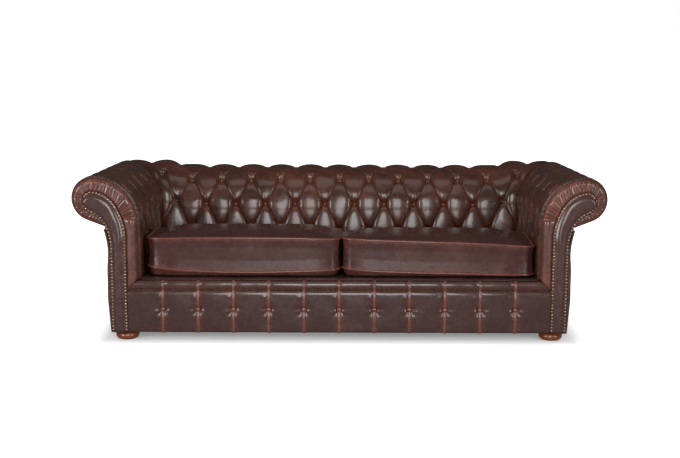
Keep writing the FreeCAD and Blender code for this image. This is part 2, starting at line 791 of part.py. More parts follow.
def front_lip():
    """The padded lip above the front rail, mitred into the bands of the arms."""
    face = size("border_face")
    back = size("post_back") - size("soft_clearance")
    foot = size("lip_foot")
    top = size("lip_top")
    notch = size("spring_foot") + size("spring_wire") + 2 * size("clip_plate") + 1
    clip_front = size("post_back") - size("clip_depth") - 2
    half = size("facing_in")
    slant = size("lip_slant")
    outline = [
        (clip_front, foot), (face + 8, foot),
        ((face + 1.5, foot + 7), (face, foot + 18)), ((face + 2, top - 8), (face + 10, top)),
        (back, top), (back, notch), (clip_front, notch),
    ]

    def at_x(item, place_x):
        if isinstance(item[0], tuple):
            return tuple(Vector(place_x, *pair) for pair in item)
        return Vector(place_x, *item)
    wire = flat_wire([at_x(item, -half) for item in outline])
    bar = Part.Face(wire).extrude(Vector(2 * half, 0, 0))
    clear = size("soft_clearance")
    front_view = [(half - clear, foot), (half - slant - clear, top)]
    front_view += [(-half + slant + clear, top), (-half + clear, foot)]
    face_wire = flat_wire([Vector(across, face - 5, up) for across, up in front_view])
    return bar.common(Part.Face(face_wire).extrude(Vector(0, back - face + 10, 0)))


# Springs


def spring(middle):
    """One serpentine spring from the front rail to the back rail: cross runs joined by half turns."""
    front = size("post_back") - size("clip_depth") / 2
    rear = size("rear_rail_front") + size("clip_depth") / 2
    turns = int((rear - front) // (size("spring_turn") / 2))
    pitch = (rear - front) / turns
    bend = pitch / 2
    reach = size("spring_width") / 2 - bend
    height = size("spring_foot") + size("spring_wire") / 2
    edges = []
    side = 1
    for number in range(turns + 1):
        here = front + number * pitch
        start = Vector(middle - side * reach, here, height)
        end = Vector(middle + side * reach, here, height)
        edges.append(Part.LineSegment(start, end).toShape())
        if number < turns:
            outermost = Vector(middle + side * (reach + bend), here + bend, height)
            following = Vector(middle + side * reach, here + pitch, height)
            edges.append(Part.Arc(end, outermost, following).toShape())
        side = -side
    lead = Vector(middle - reach, front, height)
    circle = Part.makeCircle(size("spring_wire") / 2, lead, Vector(1, 0, 0))
    return Part.Wire(edges).makePipeShell([Part.Wire([circle])], True, False)


def spring_places():
    """X of each spring."""
    count = int(size("springs"))
    return [(number - (count - 1) / 2) * size("spring_pitch") for number in range(count)]


def clip(middle, place_y, opening):
    """A clip that holds the last run of a spring, open towards the seat."""
    plate = size("clip_plate")
    inside = size("spring_wire") + 2 * size("wire_clearance")
    depth = size("clip_depth") - 2
    width = size("clip_width")
    foot = size("rail_top")
    back = place_y - opening * depth / 2
    outline = [
        (back, foot), (back + opening * depth, foot), (back + opening * depth, foot + plate),
        (back + opening * plate, foot + plate), (back + opening * plate, foot + plate + inside),
        (back + opening * depth * 0.8, foot + plate + inside),
        (back + opening * depth * 0.8, foot + 2 * plate + inside), (back, foot + 2 * plate + inside),
    ]
    wire = flat_wire([Vector(middle - width / 2, across, up) for across, up in outline])
    return Part.Face(wire).extrude(Vector(width, 0, 0))


def spring_clips():
    """A clip at both ends of each spring."""
    front = size("post_back") - size("clip_depth") / 2
    rear = size("rear_rail_front") + size("clip_depth") / 2
    clips = []
    for middle in spring_places():
        clips.append(clip(middle, front, 1))
        clips.append(clip(middle, rear, -1))
    return Part.makeCompound(clips)


def tie_wires():
    """Straight wires that tie the springs to each other."""
    count = int(size("tie_wires"))
    reach = spring_places()[-1] + size("spring_width") / 2
    middle_y = 0.5 * (size("post_back") + size("rear_rail_front"))
    height = size("tie_foot") + size("tie_wire") / 2
    wires = []
    for number in range(count):
        place_y = middle_y + (number - (count - 1) / 2) * size("tie_wire_pitch")
        start = Vector(-reach, place_y, height)
        wires.append(Part.makeCylinder(size("tie_wire") / 2, 2 * reach, start, Vector(1, 0, 0)))
    return Part.makeCompound(wires)


# Loose cushions


def cushion_ring(left, right, front, rear, corner, waist, height):
    """A closed line round a cushion, with round corners and sides that pull in between them."""
    bend = corner * (1 - math.sqrt(0.5))
    middle_x = 0.5 * (left + right)
    middle_y = 0.5 * (front + rear)
    points = [
        Vector(left + corner, front, height),
        (Vector(middle_x, front + waist, height), Vector(right - corner, front, height)),
        (Vector(right - bend, front + bend, height), Vector(right, front + corner, height)),
        (Vector(right - waist, middle_y, height), Vector(right, rear - corner, height)),
        (Vector(right - bend, rear - bend, height), Vector(right - corner, rear, height)),
        (Vector(middle_x, rear - waist, height), Vector(left + corner, rear, height)),
        (Vector(left + bend, rear - bend, height), Vector(left, rear - corner, height)),
        (Vector(left + waist, middle_y, height), Vector(left, front + corner, height)),
    ]
    last = (Vector(left + bend, front + bend, height), points[0])
    edges = []
    start = points[0]
    for middle, end in points[1:] + [last]:
        edges.append(Part.Arc(start, middle, end).toShape())
        start = end
    return Part.Wire(edges)


def cushion(left, right, piping_rise):
    """A seat cushion: flat below, full at its two rows of piping, drawn in between them, crowned."""
    front = size("front_plane") + size("cushion_front_inset")
    rear = size("back_plane") - size("cushion_rear_gap")
    foot = size("seat_deck_height") + size("soft_clearance")
    lower = size("lower_piping")
    piping = size("seat_deck_height") + piping_rise
    crown = size("cushion_crown")
    waist = size("cushion_waist")
    corner = size("cushion_corner")
    middle = 0.5 * (lower + piping)
    # Height, how far the line is drawn in all round, and how far its sides are pulled in
    rings = [
        (foot, 26, 0.5), (foot + 8, 9, 0.8), (lower, 0, 1.0), (middle, 3, 1.5), (piping, 0, 1.0),
        (piping + 0.45 * crown, 14, 0.8), (piping + 0.8 * crown, 60, 0.5), (piping + crown, 150, 0.3),
    ]
    wires = []
    for height, inset, pull in rings:
        wires.append(cushion_ring(left + inset, right - inset, front + inset, rear - inset,
                                  corner, waist * pull, height))
    return Part.makeLoft(wires, True, True)


# Feet and their fixings


def foot(name, place_y):
    """A turned bun foot with a hole for its bolt."""
    body = doc.addObject("PartDesign::Body", name)
    sketch = new_sketch(body, "XZ_Plane", name + "_outline")
    half = size("foot_width") / 2
    top = size("foot_height")
    hole = size("bolt_hole") / 2
    floor = top - size("bolt_depth") - 1
    points = [
        Vector(0, 0, 0), Vector(0.62 * half, 0, 0),
        (Vector(0.9 * half, 0.16 * top, 0), Vector(half, 0.48 * top, 0)),
        (Vector(0.93 * half, 0.74 * top, 0), Vector(0.68 * half, 0.88 * top, 0)),
        Vector(0.68 * half, top, 0), Vector(hole, top, 0), Vector(hole, floor, 0), Vector(0, floor, 0),
    ]
    for edge in wire_geometry(points):
        sketch.addGeometry(edge, False)
    turned = body.newObject("PartDesign::Revolution", name + "_turned")
    turned.Profile = sketch
    turned.ReferenceAxis = (sketch, ["V_Axis"])
    turned.Angle = 360
    place(body, "foot_run", place_y)
    return body


def cylinder(name, radius, height, place_y, place_z):
    """A round piece on a foot's axis."""
    item = doc.addObject("Part::Cylinder", name)
    item.setExpression("Radius", bound(radius))
    item.setExpression("Height", bound(height))
    place(item, "foot_run", place_y, place_z)
    return item


def ring(name, pieces, bore):
    """Round pieces joined, less a bore."""
    joined = doc.addObject("Part::MultiFuse", name + "_joined")
    joined.Shapes = pieces
    cut = doc.addObject("Part::Cut", name)
    cut.Base = joined
    cut.Tool = bore
    return cut


def build_frame():
    """Rails, posts, ribs and blocks of the wooden frame."""
    reach = "facing_in"
    keep(board("front_rail", ("-" + reach, reach), ("rail_front", "post_back"),
               ("foot_height", "rail_top")), "front_rail")
    keep(board("back_rail", ("-inner_frame_run", "inner_frame_run"),
               ("rear_rail_front", "frame_rear"), ("foot_height", "rail_top")), "back_rail")
    side = board("side_rail", ("frame_run - rail_thickness", "frame_run"),
                 ("post_back", "rear_rail_front"), ("foot_height", "foot_height + side_rail_height"))
    keep_pair(side, "side_rail")
    stretcher = board("stretcher",
                      ("stretcher_offset - stretcher_thickness / 2",
                       "stretcher_offset + stretcher_thickness / 2"),
                      ("post_back", "rear_rail_front"),
                      ("foot_height + stretcher_lift",
                       "foot_height + stretcher_lift + stretcher_height"))
    group("seat_stretchers", [stretcher, mirror(stretcher, "left_stretcher")])
    blocks = []
    for name, start, end, bolt in (
            ("front_block", "post_back", "post_back + block_size", "front_foot_place"),
            ("rear_block", "rear_rail_front - block_size", "rear_rail_front", "rear_foot_place")):
        block = board(name, ("block_run", "block_run + block_size"), (start, end),
                      ("foot_height", "foot_height + block_height"),
                      ("foot_run", bolt, "nut_hole"))
        blocks += [block, mirror(block, "left_" + name)]
    group("corner_blocks", blocks)
    post_edges = wire_geometry(scroll_outline(sketch_point, size("foot_height")))
    post = outline_board("front_post", "XZ_Plane", post_edges, "post_thickness", "post_back")
    keep_pair(post, "front_post")
    rear_post = board("rear_post", ("inner_frame_run", "frame_run"),
                      ("rear_rail_front", "frame_rear"), ("foot_height", "arm_shoulder - 8"))
    keep_pair(rear_post, "rear_post")
    arm_top_rail = board("arm_top_rail", ("top_rail_run", "top_rail_run + top_rail_width"),
                         ("post_back", "top_rail_run - run_shift"),
                         ("arm_rail_top - top_rail_height", "arm_rail_top"))
    keep_pair(arm_top_rail, "arm_top_rail")
    arm_stuffing = board("arm_stuffing_rail", ("inner_frame_run", "stuffing_back"),
                         ("post_back", "rear_rail_front"),
                         ("stuffing_rail_foot", "stuffing_rail_top"))
    keep_pair(arm_stuffing, "arm_stuffing_rail")
    rail_reach = "top_rail_run + top_rail_width"
    keep(board("back_top_rail", ("-(%s)" % rail_reach, rail_reach),
               ("top_rail_run - run_shift", "top_rail_run + top_rail_width - run_shift"),
               ("back_rail_top - top_rail_height", "back_rail_top")), "back_top_rail")
    keep(board("back_stuffing_rail", ("-inner_frame_run", "inner_frame_run"),
               ("inner_frame_run - run_shift", "stuffing_back - run_shift"),
               ("stuffing_rail_foot", "stuffing_rail_top")), "back_stuffing_rail")
    ribs = []
    for name, offset in (("inner_rib", "inner_rib_offset"), ("outer_rib", "outer_rib_offset")):
        rib = outline_board(name, "YZ_Plane", rib_outline(), "rib_thickness",
                            x="%s - rib_thickness / 2" % offset)
        ribs += [rib, mirror(rib, "left_" + name)]
    group("back_uprights", ribs)


def rib_outline():
    """An upright of the back: it stands on the back rail, clears the stuffing rail, carries the top rail."""
    inner = size("inner_frame_run") - RUN_SHIFT
    rear = size("frame_rear")
    foot = size("rail_top")
    notch_y = size("stuffing_back") - RUN_SHIFT
    notch_z = size("stuffing_rail_top")
    rail_foot = size("back_rail_top") - size("top_rail_height")
    rail_in = size("top_rail_run") - RUN_SHIFT
    rail_out = rail_in + size("top_rail_width")
    turn = size("back_shoulder")
    points = [
        (rear, foot), (rear, turn + 20), (rail_out - 12, rail_foot - 18), (rail_out, rail_foot),
        (rail_in, rail_foot), (inner, turn), (inner, notch_z), (notch_y, notch_z), (notch_y, foot),
    ]
    return wire_geometry([sketch_point(*item) for item in points])


def build_seat():
    """Springs, wires and the layers of the seat deck."""
    keep(feature("seat_springs", Part.makeCompound([spring(x) for x in spring_places()])),
         "seat_springs")
    keep(feature("spring_clips", spring_clips()), "spring_clips")
    keep(feature("spring_tie_wires", tie_wires()), "spring_tie_wires")
    layers = (("seat_hessian", "hessian_foot", "hessian_foot + hessian_thickness"),
              ("seat_platform", "platform_foot", "seat_deck_height"))
    for name, low, high in layers:
        keep(board(name, ("-platform_run", "platform_run"),
                   ("post_back + soft_clearance", "platform_run - run_shift"), (low, high)), name)


def web_places(start, end):
    """Places of webbing strips between two ends, evenly spread."""
    pitch = size("webbing_pitch")
    count = int((end - start) // pitch)
    first = 0.5 * (start + end) - 0.5 * (count - 1) * pitch - 0.5 * size("webbing_width")
    return [first + number * pitch for number in range(count)]


def build_walls():
    """Webbing, foam, covers and buttons of the arms and the back, and the boards outside them."""
    front = size("post_back") + RUN_SHIFT
    rear = size("inner_frame_run")
    arm_webs = webbing(ARM, size("arm_rail_top"), web_places(front, rear), arm_point)
    keep_pair(feature("arm_webbing", arm_webs), "arm_webbing")
    last_column = size("inner_run") - size("corner_margin")
    back_places = web_places(-last_column, last_column)
    back_webs = webbing(BACK, size("back_rail_top"), back_places, back_point)
    keep(feature("back_webbing", back_webs), "back_webbing")
    arm_foam = arm_run(foam_outline(ARM, size("arm_rail_top")), size("post_back"))
    keep_pair(feature("arm_foam", arm_foam), "arm_foam")
    back_foam = back_run(foam_outline(BACK, size("back_rail_top")), last_column)
    keep(feature("back_foam", back_foam), "back_foam")
    keep_pair(feature("arm_tufted_cover", tufted_cover(arm_cover_section)), "arm_tufted_cover")
    keep(feature("back_tufted_cover", tufted_cover(back_cover_section)), "back_tufted_cover")
    keep_pair(feature("arm_buttons", arm_buttons()), "arm_buttons")
    keep(feature("back_buttons", back_buttons()), "back_buttons")
    arm_panel = arm_run(outside_outline, size("border_face"))
    keep_pair(feature("outside_arm_panel", arm_panel), "outside_arm_panel")
    back_panel = back_run(outside_outline, size("half_width"))
    keep(feature("outside_back_panel", back_panel), "outside_back_panel")


def build_front():
    """Facings, nails and borders of the arms, and the plinth and lip between them."""
    facing_edges = wire_geometry(scroll_outline(sketch_point, size("foot_height") - 1))
    facing = outline_board("scroll_facing", "XZ_Plane", facing_edges, "facing_thickness",
                           "post_front")
    keep_pair(facing, "scroll_facing")
    keep_pair(feature("facing_nails", facing_nails()), "facing_nails")
    keep_pair(feature("scroll_border", scroll_border()), "scroll_border")
    keep(feature("front_border_pad", front_plinth()), "front_border_pad")
    keep(feature("front_buttons", front_buttons()), "front_buttons")
    keep(feature("front_lip", front_lip()), "front_lip")


def build_cushions():
    """The two loose seat cushions."""
    arm = size("inner_run")
    split = size("cushion_split")
    gap = size("cushion_gap") / 2
    left = cushion(-arm + size("left_cushion_side_gap"), split - gap, size("left_piping_rise"))
    right = cushion(split + gap, arm - size("right_cushion_side_gap"), size("right_piping_rise"))
    keep(feature("left_seat_cushion", left), "left_seat_cushion")
    keep(feature("right_seat_cushion", right), "right_seat_cushion")


def build_feet():
    """Four turned feet, their bolts and nuts, and the cloth under the frame."""
    bolts = []
    nuts = []
    holes = []
    nut_foot = "foot_height + block_height - nut_length"
    for end, place_y in (("front", "front_foot_place"), ("rear", "rear_foot_place")):
        keep_pair(foot(end + "_foot", place_y), end + "_foot")
        bolt = cylinder(end + "_bolt", "bolt_width / 2", "bolt_depth + block_height + 2", place_y,
                        "foot_height - bolt_depth")
        bolts += [bolt, mirror(bolt, "left_" + end + "_bolt")]
        barrel = cylinder(end + "_barrel", "nut_barrel / 2", "nut_length", place_y, nut_foot)
        flange = cylinder(end + "_flange", "nut_flange / 2", "nut_flange_thickness", place_y,
                          "foot_height + block_height")
        bore = cylinder(end + "_bore", "bolt_width / 2 + wire_clearance", "3 * nut_length", place_y,
                        nut_foot + " - nut_length")
        nut = ring(end + "_nut", [barrel, flange], bore)
        nuts += [nut, mirror(nut, "left_" + end + "_nut")]
        hole = cylinder(end + "_foot_hole", "foot_width / 2 + 1", "4 * dust_cover_thickness", place_y,
                        "foot_height - 2 * dust_cover_thickness")
        holes += [hole, mirror(hole, "left_" + end + "_foot_hole")]
    group("foot_bolts", bolts)
    group("foot_t_nuts", nuts)
    cloth = board("dust_cloth", ("-(frame_run - 2)", "frame_run - 2"),
                  ("rail_front + 1", "frame_rear - 2"),
                  ("foot_height - dust_cover_thickness", "foot_height"))
    all_holes = doc.addObject("Part::MultiFuse", "foot_holes")
    all_holes.Shapes = holes
    cover = doc.addObject("Part::Cut", "dust_cover")
    cover.Base = cloth
    cover.Tool = all_holes
    keep(cover, "dust_cover")


def check_all():
    """Stops if an object failed or a sub-part isn't sound."""
    doc.recompute()
    for item in doc.Objects:
        if "Invalid" in item.State or "Error" in item.State:
            raise RuntimeError("failed: %s" % item.Label)
    for item in SUBPARTS:
        if item.Shape.isNull() or not item.Shape.isValid() or not item.Shape.Solids:
            raise RuntimeError("not sound: %s" % item.Label)


def write_all():
    """Writes each sub-part to a file of its own."""
    os.makedirs("parts", exist_ok=True)
    for item in SUBPARTS:
        item.Shape.exportStep("parts/%s.step" % item.Label)
    print("%d sub-parts written" % len(SUBPARTS))


build_frame()
build_seat()
build_walls()
build_front()
build_cushions()
build_feet()
check_all()
write_all()
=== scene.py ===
import math

import bmesh
import bpy
import numpy as np
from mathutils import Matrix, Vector


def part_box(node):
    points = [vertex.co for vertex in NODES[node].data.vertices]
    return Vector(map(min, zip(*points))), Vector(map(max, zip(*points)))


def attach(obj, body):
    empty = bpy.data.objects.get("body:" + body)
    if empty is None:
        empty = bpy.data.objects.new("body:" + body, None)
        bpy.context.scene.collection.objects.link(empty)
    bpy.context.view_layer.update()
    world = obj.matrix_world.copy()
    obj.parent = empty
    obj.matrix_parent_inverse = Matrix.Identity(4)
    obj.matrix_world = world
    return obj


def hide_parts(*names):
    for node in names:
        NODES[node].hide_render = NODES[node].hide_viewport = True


# Chesterfield sofa in antique leather, in metres. The frame carries the joinery, this script the upholstery.
# "Run" is the distance of a wall's surface from the middle plane it faces: |X| on the arms,
# Y plus RUN_SHIFT on the back. "Along" is the way the wall goes: Y plus RUN_SHIFT, or X.

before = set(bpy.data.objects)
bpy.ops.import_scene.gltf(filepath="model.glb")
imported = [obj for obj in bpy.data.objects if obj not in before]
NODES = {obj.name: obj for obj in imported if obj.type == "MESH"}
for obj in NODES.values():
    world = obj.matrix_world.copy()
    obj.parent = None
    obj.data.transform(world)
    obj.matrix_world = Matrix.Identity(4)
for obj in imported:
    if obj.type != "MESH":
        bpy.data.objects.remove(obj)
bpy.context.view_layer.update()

# Sizes that follow from the frame

ARM_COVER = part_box("right_arm_tufted_cover")
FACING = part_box("right_scroll_facing")
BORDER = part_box("right_scroll_border")
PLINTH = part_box("front_border_pad")
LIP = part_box("front_lip")
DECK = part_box("seat_platform")

HALF_WIDTH = 1.150
HALF_DEPTH = 0.475
ARM_TOP = 0.712
BACK_TOP = 0.690
INNER_RUN = 0.858
RUN_SHIFT = 0.675
ARM_RISE = 0.194
ROLL_RUN = INNER_RUN + ARM_RISE
ROLL_RADIUS = HALF_WIDTH - ROLL_RUN
BACK_RISE = 0.204
NECK = (1.000, 0.489)
NECK_ANGLE = 69.0
SEAT_TUCK = DECK[1].z + 0.0006

# Tufting

PITCH = 0.145
COLUMNS = 5
PIT = 0.012
LAST_COLUMN = COLUMNS * PITCH
TUFT_DEPTH = 0.040
CROWN_DEPTH = 0.016
PLEAT_DEPTH = 0.017
MITRE_DEPTH = 0.010
COVER_DEPTH = 0.049
ROW_C_SHARE = 0.574
ROW_B_ANGLE = 8.0
ROW_A_ANGLE = 48.0
ROW_Z_ANGLE = 82.5
CREASE_LEVEL = 0.60
BUTTON_WIDTH = 0.020
BACK_LEAN = 0.12

CRINKLE_DEPTH = 0.0011
FAN_DEPTH = 0.0026
PIT_REACH = 0.012
WORN_REACH = 0.036
MITRE_ROUNDING = 0.035
FRONT_ROUNDING = 0.02
ROW_OVERLAP = 0.13

SEED = 7
ANY_TURN = 6.28
VOXEL = 0.006
SIM_FRAMES = 20
SWELL_LIMIT = 0.024


# Meshes


def add_mesh(name, points, faces, smooth=None):
    """A mesh object from points and faces, smooth where the list says so."""
    mesh = bpy.data.meshes.new(name)
    mesh.from_pydata([tuple(p) for p in points], [], faces)
    mesh.update()
    flags = [True] * len(faces) if smooth is None else smooth
    mesh.polygons.foreach_set("use_smooth", flags)
    piece = bpy.data.objects.new(name, mesh)
    bpy.context.scene.collection.objects.link(piece)
    return piece


def points_of(mesh):
    """The places of a mesh's points, one row each."""
    places = np.zeros(len(mesh.vertices) * 3)
    mesh.vertices.foreach_get("co", places)
    return places.reshape(-1, 3)


def move_points(mesh, places):
    """Puts a mesh's points on new places."""
    mesh.vertices.foreach_set("co", places.ravel())
    mesh.update()


def grid_faces(rows, columns, start=0, turned=False):
    """Quads of a grid of points, row by row."""
    faces = []
    for row in range(rows - 1):
        for column in range(columns - 1):
            a = start + row * columns + column
            quad = (a, a + 1, a + columns + 1, a + columns)
            faces.append(quad[::-1] if turned else quad)
    return faces


def ring_faces(rows, count):
    """Quads between closed rings of points, one ring above the other."""
    faces = []
    for row in range(rows - 1):
        for column in range(count):
            a = row * count + column
            b = row * count + (column + 1) % count
            faces.append((a, b, b + count, a + count))
    return faces


def set_wear(piece, values):
    """Stores one number for each point, which the leather reads as its wear."""
    layer = piece.data.attributes.new("rub", "FLOAT", "POINT")
    layer.data.foreach_set("value", np.asarray(values, np.float32).ravel())


def shell(name, outer, inner, turned, masks):
    """A closed pad from an outer grid and a coarse inner grid whose first and last rows match it.

    outer and inner are arrays of shape (rows, columns, 3), and masks has outer's first two sizes."""
    rows, columns, _ = outer.shape
    inner_rows = inner.shape[0]
    points = np.concatenate([outer.reshape(-1, 3), inner.reshape(-1, 3)])
    faces = grid_faces(rows, columns, 0, turned)
    start = rows * columns
    faces += grid_faces(inner_rows, columns, start, not turned)
    smooth = [True] * len(faces)

    def outer_at(row, column):
        return row * columns + column

    def inner_at(row, column):
        return start + row * columns + column
    edges = []
    for column in range(columns - 1):
        edges.append((outer_at(0, column + 1), outer_at(0, column),
                      inner_at(0, column), inner_at(0, column + 1)))
        edges.append((outer_at(rows - 1, column), outer_at(rows - 1, column + 1),
                      inner_at(inner_rows - 1, column + 1), inner_at(inner_rows - 1, column)))
    last = columns - 1
    if inner_rows == rows:
        for row in range(rows - 1):
            edges.append((outer_at(row, 0), outer_at(row + 1, 0), inner_at(row + 1, 0), inner_at(row, 0)))
            edges.append((outer_at(row + 1, last), outer_at(row, last),
                          inner_at(row, last), inner_at(row + 1, last)))
    else:
        edges.append([outer_at(row, 0) for row in range(rows)]
                     + [inner_at(row, 0) for row in reversed(range(inner_rows))])
        edges.append([outer_at(row, last) for row in reversed(range(rows))]
                     + [inner_at(row, last) for row in range(inner_rows)])
    if turned:
        edges = [tuple(edge)[::-1] for edge in edges]
    faces += [tuple(edge) for edge in edges]
    smooth += [False] * len(edges)
    piece = add_mesh(name, points, faces, smooth)
    set_wear(piece, np.concatenate([masks.ravel(), np.zeros(inner.shape[0] * columns)]))
    return piece


def waves(first, second, scale, seed):
    """Smooth uneven numbers from -1 to 1 over two coordinates, the same on every run."""
    random = np.random.default_rng(seed)
    total = np.zeros(np.broadcast(first, second).shape)
    for level in range(6):
        angle = random.uniform(0, 2 * math.pi)
        phase = random.uniform(0, 2 * math.pi)
        stretch = random.uniform(0.6, 1.6) * 2 * math.pi / scale
        total = total + np.sin(stretch * (first * math.cos(angle) + second * math.sin(angle)) + phase)
    return total / 3.2


def mirrored(piece, name):
    """The same piece on the left side."""
    mesh = piece.data.copy()
    mesh.name = name
    move_points(mesh, points_of(mesh) * (-1, 1, 1))
    mesh.flip_normals()
    mesh.update()
    other = bpy.data.objects.new(name, mesh)
    bpy.context.scene.collection.objects.link(other)
    return other


def ease(value):
    """Goes smoothly from 0 to 1."""
    value = np.clip(value, 0, 1)
    return value * value * (3 - 2 * value)


# Walls: the arms and the back share one outer line


def wall_rows():
    """Each row across a wall: part of the outer line, value there, phase of the tufting, cover depth."""
    rows = []
    rise_steps = 30
    for step in range(rise_steps):
        share = step / rise_steps
        phase = max(0.0, (share - ROW_C_SHARE) / (1 - ROW_C_SHARE + ROW_OVERLAP))
        rows.append((0, share, phase, TUFT_DEPTH * (0.35 + 0.65 * ease(share / ROW_C_SHARE))))
    for degrees in np.arange(0.0, 90.0, 2.0):
        if degrees < ROW_B_ANGLE:
            rise = 1 - ROW_C_SHARE + ROW_OVERLAP
            phase = (1 - ROW_C_SHARE) / rise + degrees / ROW_B_ANGLE * (1 - (1 - ROW_C_SHARE) / rise)
        else:
            phase = np.interp(degrees, [ROW_B_ANGLE, ROW_A_ANGLE, ROW_Z_ANGLE], [1, 2, 3])
        depth = np.interp(degrees, [0, ROW_A_ANGLE, ROW_Z_ANGLE, 90],
                          [TUFT_DEPTH, TUFT_DEPTH, CROWN_DEPTH, CROWN_DEPTH])
        rows.append((1, degrees, phase, depth))
    for degrees in np.linspace(90.0, -NECK_ANGLE, 36):
        depth = np.interp(degrees, [-NECK_ANGLE, 20, 90], [0.3 * PLEAT_DEPTH, PLEAT_DEPTH, CROWN_DEPTH])
        rows.append((2, degrees, 3.0, depth))
    for share in np.linspace(0, 1, 9)[1:]:
        rows.append((3, share, 3.0, 0.3 * PLEAT_DEPTH * (1 - 0.9 * share)))
    return rows


WALL_ROWS = wall_rows()


def outer_line(part, value, top, rise, extreme):
    """The (run, height) of a wall's outer line and the direction out of it.

    top, rise and extreme may be arrays, one number for each place along the wall."""
    centre_run = INNER_RUN + rise
    shoulder = top - rise
    roll = extreme - centre_run
    roll_height = top - roll
    zero = np.zeros(np.shape(top)) if np.ndim(top) else np.zeros(1)
    if part == 0:
        return (INNER_RUN + zero, SEAT_TUCK + value * (shoulder - SEAT_TUCK) + zero, zero - 1, zero)
    if part == 1:
        angle = math.radians(180 - value)
        centre, radius = (centre_run, shoulder), rise
    else:
        angle = math.radians(value if part == 2 else -NECK_ANGLE)
        centre, radius = (centre_run, roll_height), roll
    out_run, out_height = math.cos(angle), math.sin(angle)
    run = centre[0] + radius * out_run + zero
    height = centre[1] + radius * out_height + zero
    if part == 3:
        run = run + value * (NECK[0] - run)
        height = height + value * (NECK[1] - height)
    return run, height, out_run + zero, out_height + zero


def back_line(part, value, along):
    """The back's outer line, which rises to the arms' height before the corners."""
    share = ease((np.abs(along) - LAST_COLUMN) / (INNER_RUN - LAST_COLUMN))
    top = BACK_TOP + share * (ARM_TOP - BACK_TOP)
    rise = BACK_RISE + share * (ARM_RISE - BACK_RISE)
    return outer_line(part, value, top, rise, HALF_WIDTH + 0 * share)


def arm_line(part, value, along):
    """The arm's outer line, the same all along."""
    zero = 0 * along
    return outer_line(part, value, ARM_TOP + zero, ARM_RISE + zero, HALF_WIDTH + zero)


def lobe(along, phase):
    """Place in the tufting: across the nearest lobe from -1 to 1, and how wide that lobe is, 0 to 1."""
    wide = 1 - np.abs(1 - (phase % 2))
    width = PIT + (PITCH - 2 * PIT) * wide
    nearest = along - PITCH * np.round(along / PITCH)
    between = along - PITCH * (np.round(along / PITCH - 0.5) + 0.5)
    inside = np.abs(nearest) <= width / 2
    across = np.where(inside, nearest / (width / 2), between / ((PITCH - width) / 2))
    return across, np.where(inside, wide, 1 - wide)


def fullness(along, phase):
    """How far the cover stands out, 0 at the buttons to 1 in a lobe, and the place across the lobe."""
    across, wide = lobe(along, phase)
    first = np.clip(wide * (1 + across), 0, 2)
    second = np.clip(wide * (1 - across), 0, 2)
    flatness = np.interp(phase, [2, 3], [0.27, 0.6])
    dome = np.clip(first * (2 - first) * second * (2 - second), 0, 1) ** flatness
    corner = np.abs((first - 1) * (1 - second)) ** 3
    level = np.interp(phase, [0, 1, 1.8, 2.5, 3], [CREASE_LEVEL, CREASE_LEVEL, 0.74, 0.86, 0.30])
    crease = level * (1 - corner)
    return crease + (1 - crease) * dome, across


def button_places(first, last):
    """Along, part, value and depth of each button between two columns."""
    places = []
    for part, value, offset, depth in (
            (0, ROW_C_SHARE, 0.0, TUFT_DEPTH), (1, ROW_B_ANGLE, 0.5, TUFT_DEPTH),
            (1, ROW_A_ANGLE, 0.0, TUFT_DEPTH), (1, ROW_Z_ANGLE, 0.5, CROWN_DEPTH)):
        for number in range(first, last + 1):
            along = (number + offset) * PITCH
            if abs(along) <= LAST_COLUMN + 0.001 or (offset and first > 0):
                places.append((along, part, value, depth))
    return places


def wall_point(line, part, value, along, depth):
    """The (run, height) at a depth inside the outer line."""
    run, height, out_run, out_height = line(part, value, np.asarray(along, float))
    return run - depth * out_run, height - depth * out_height


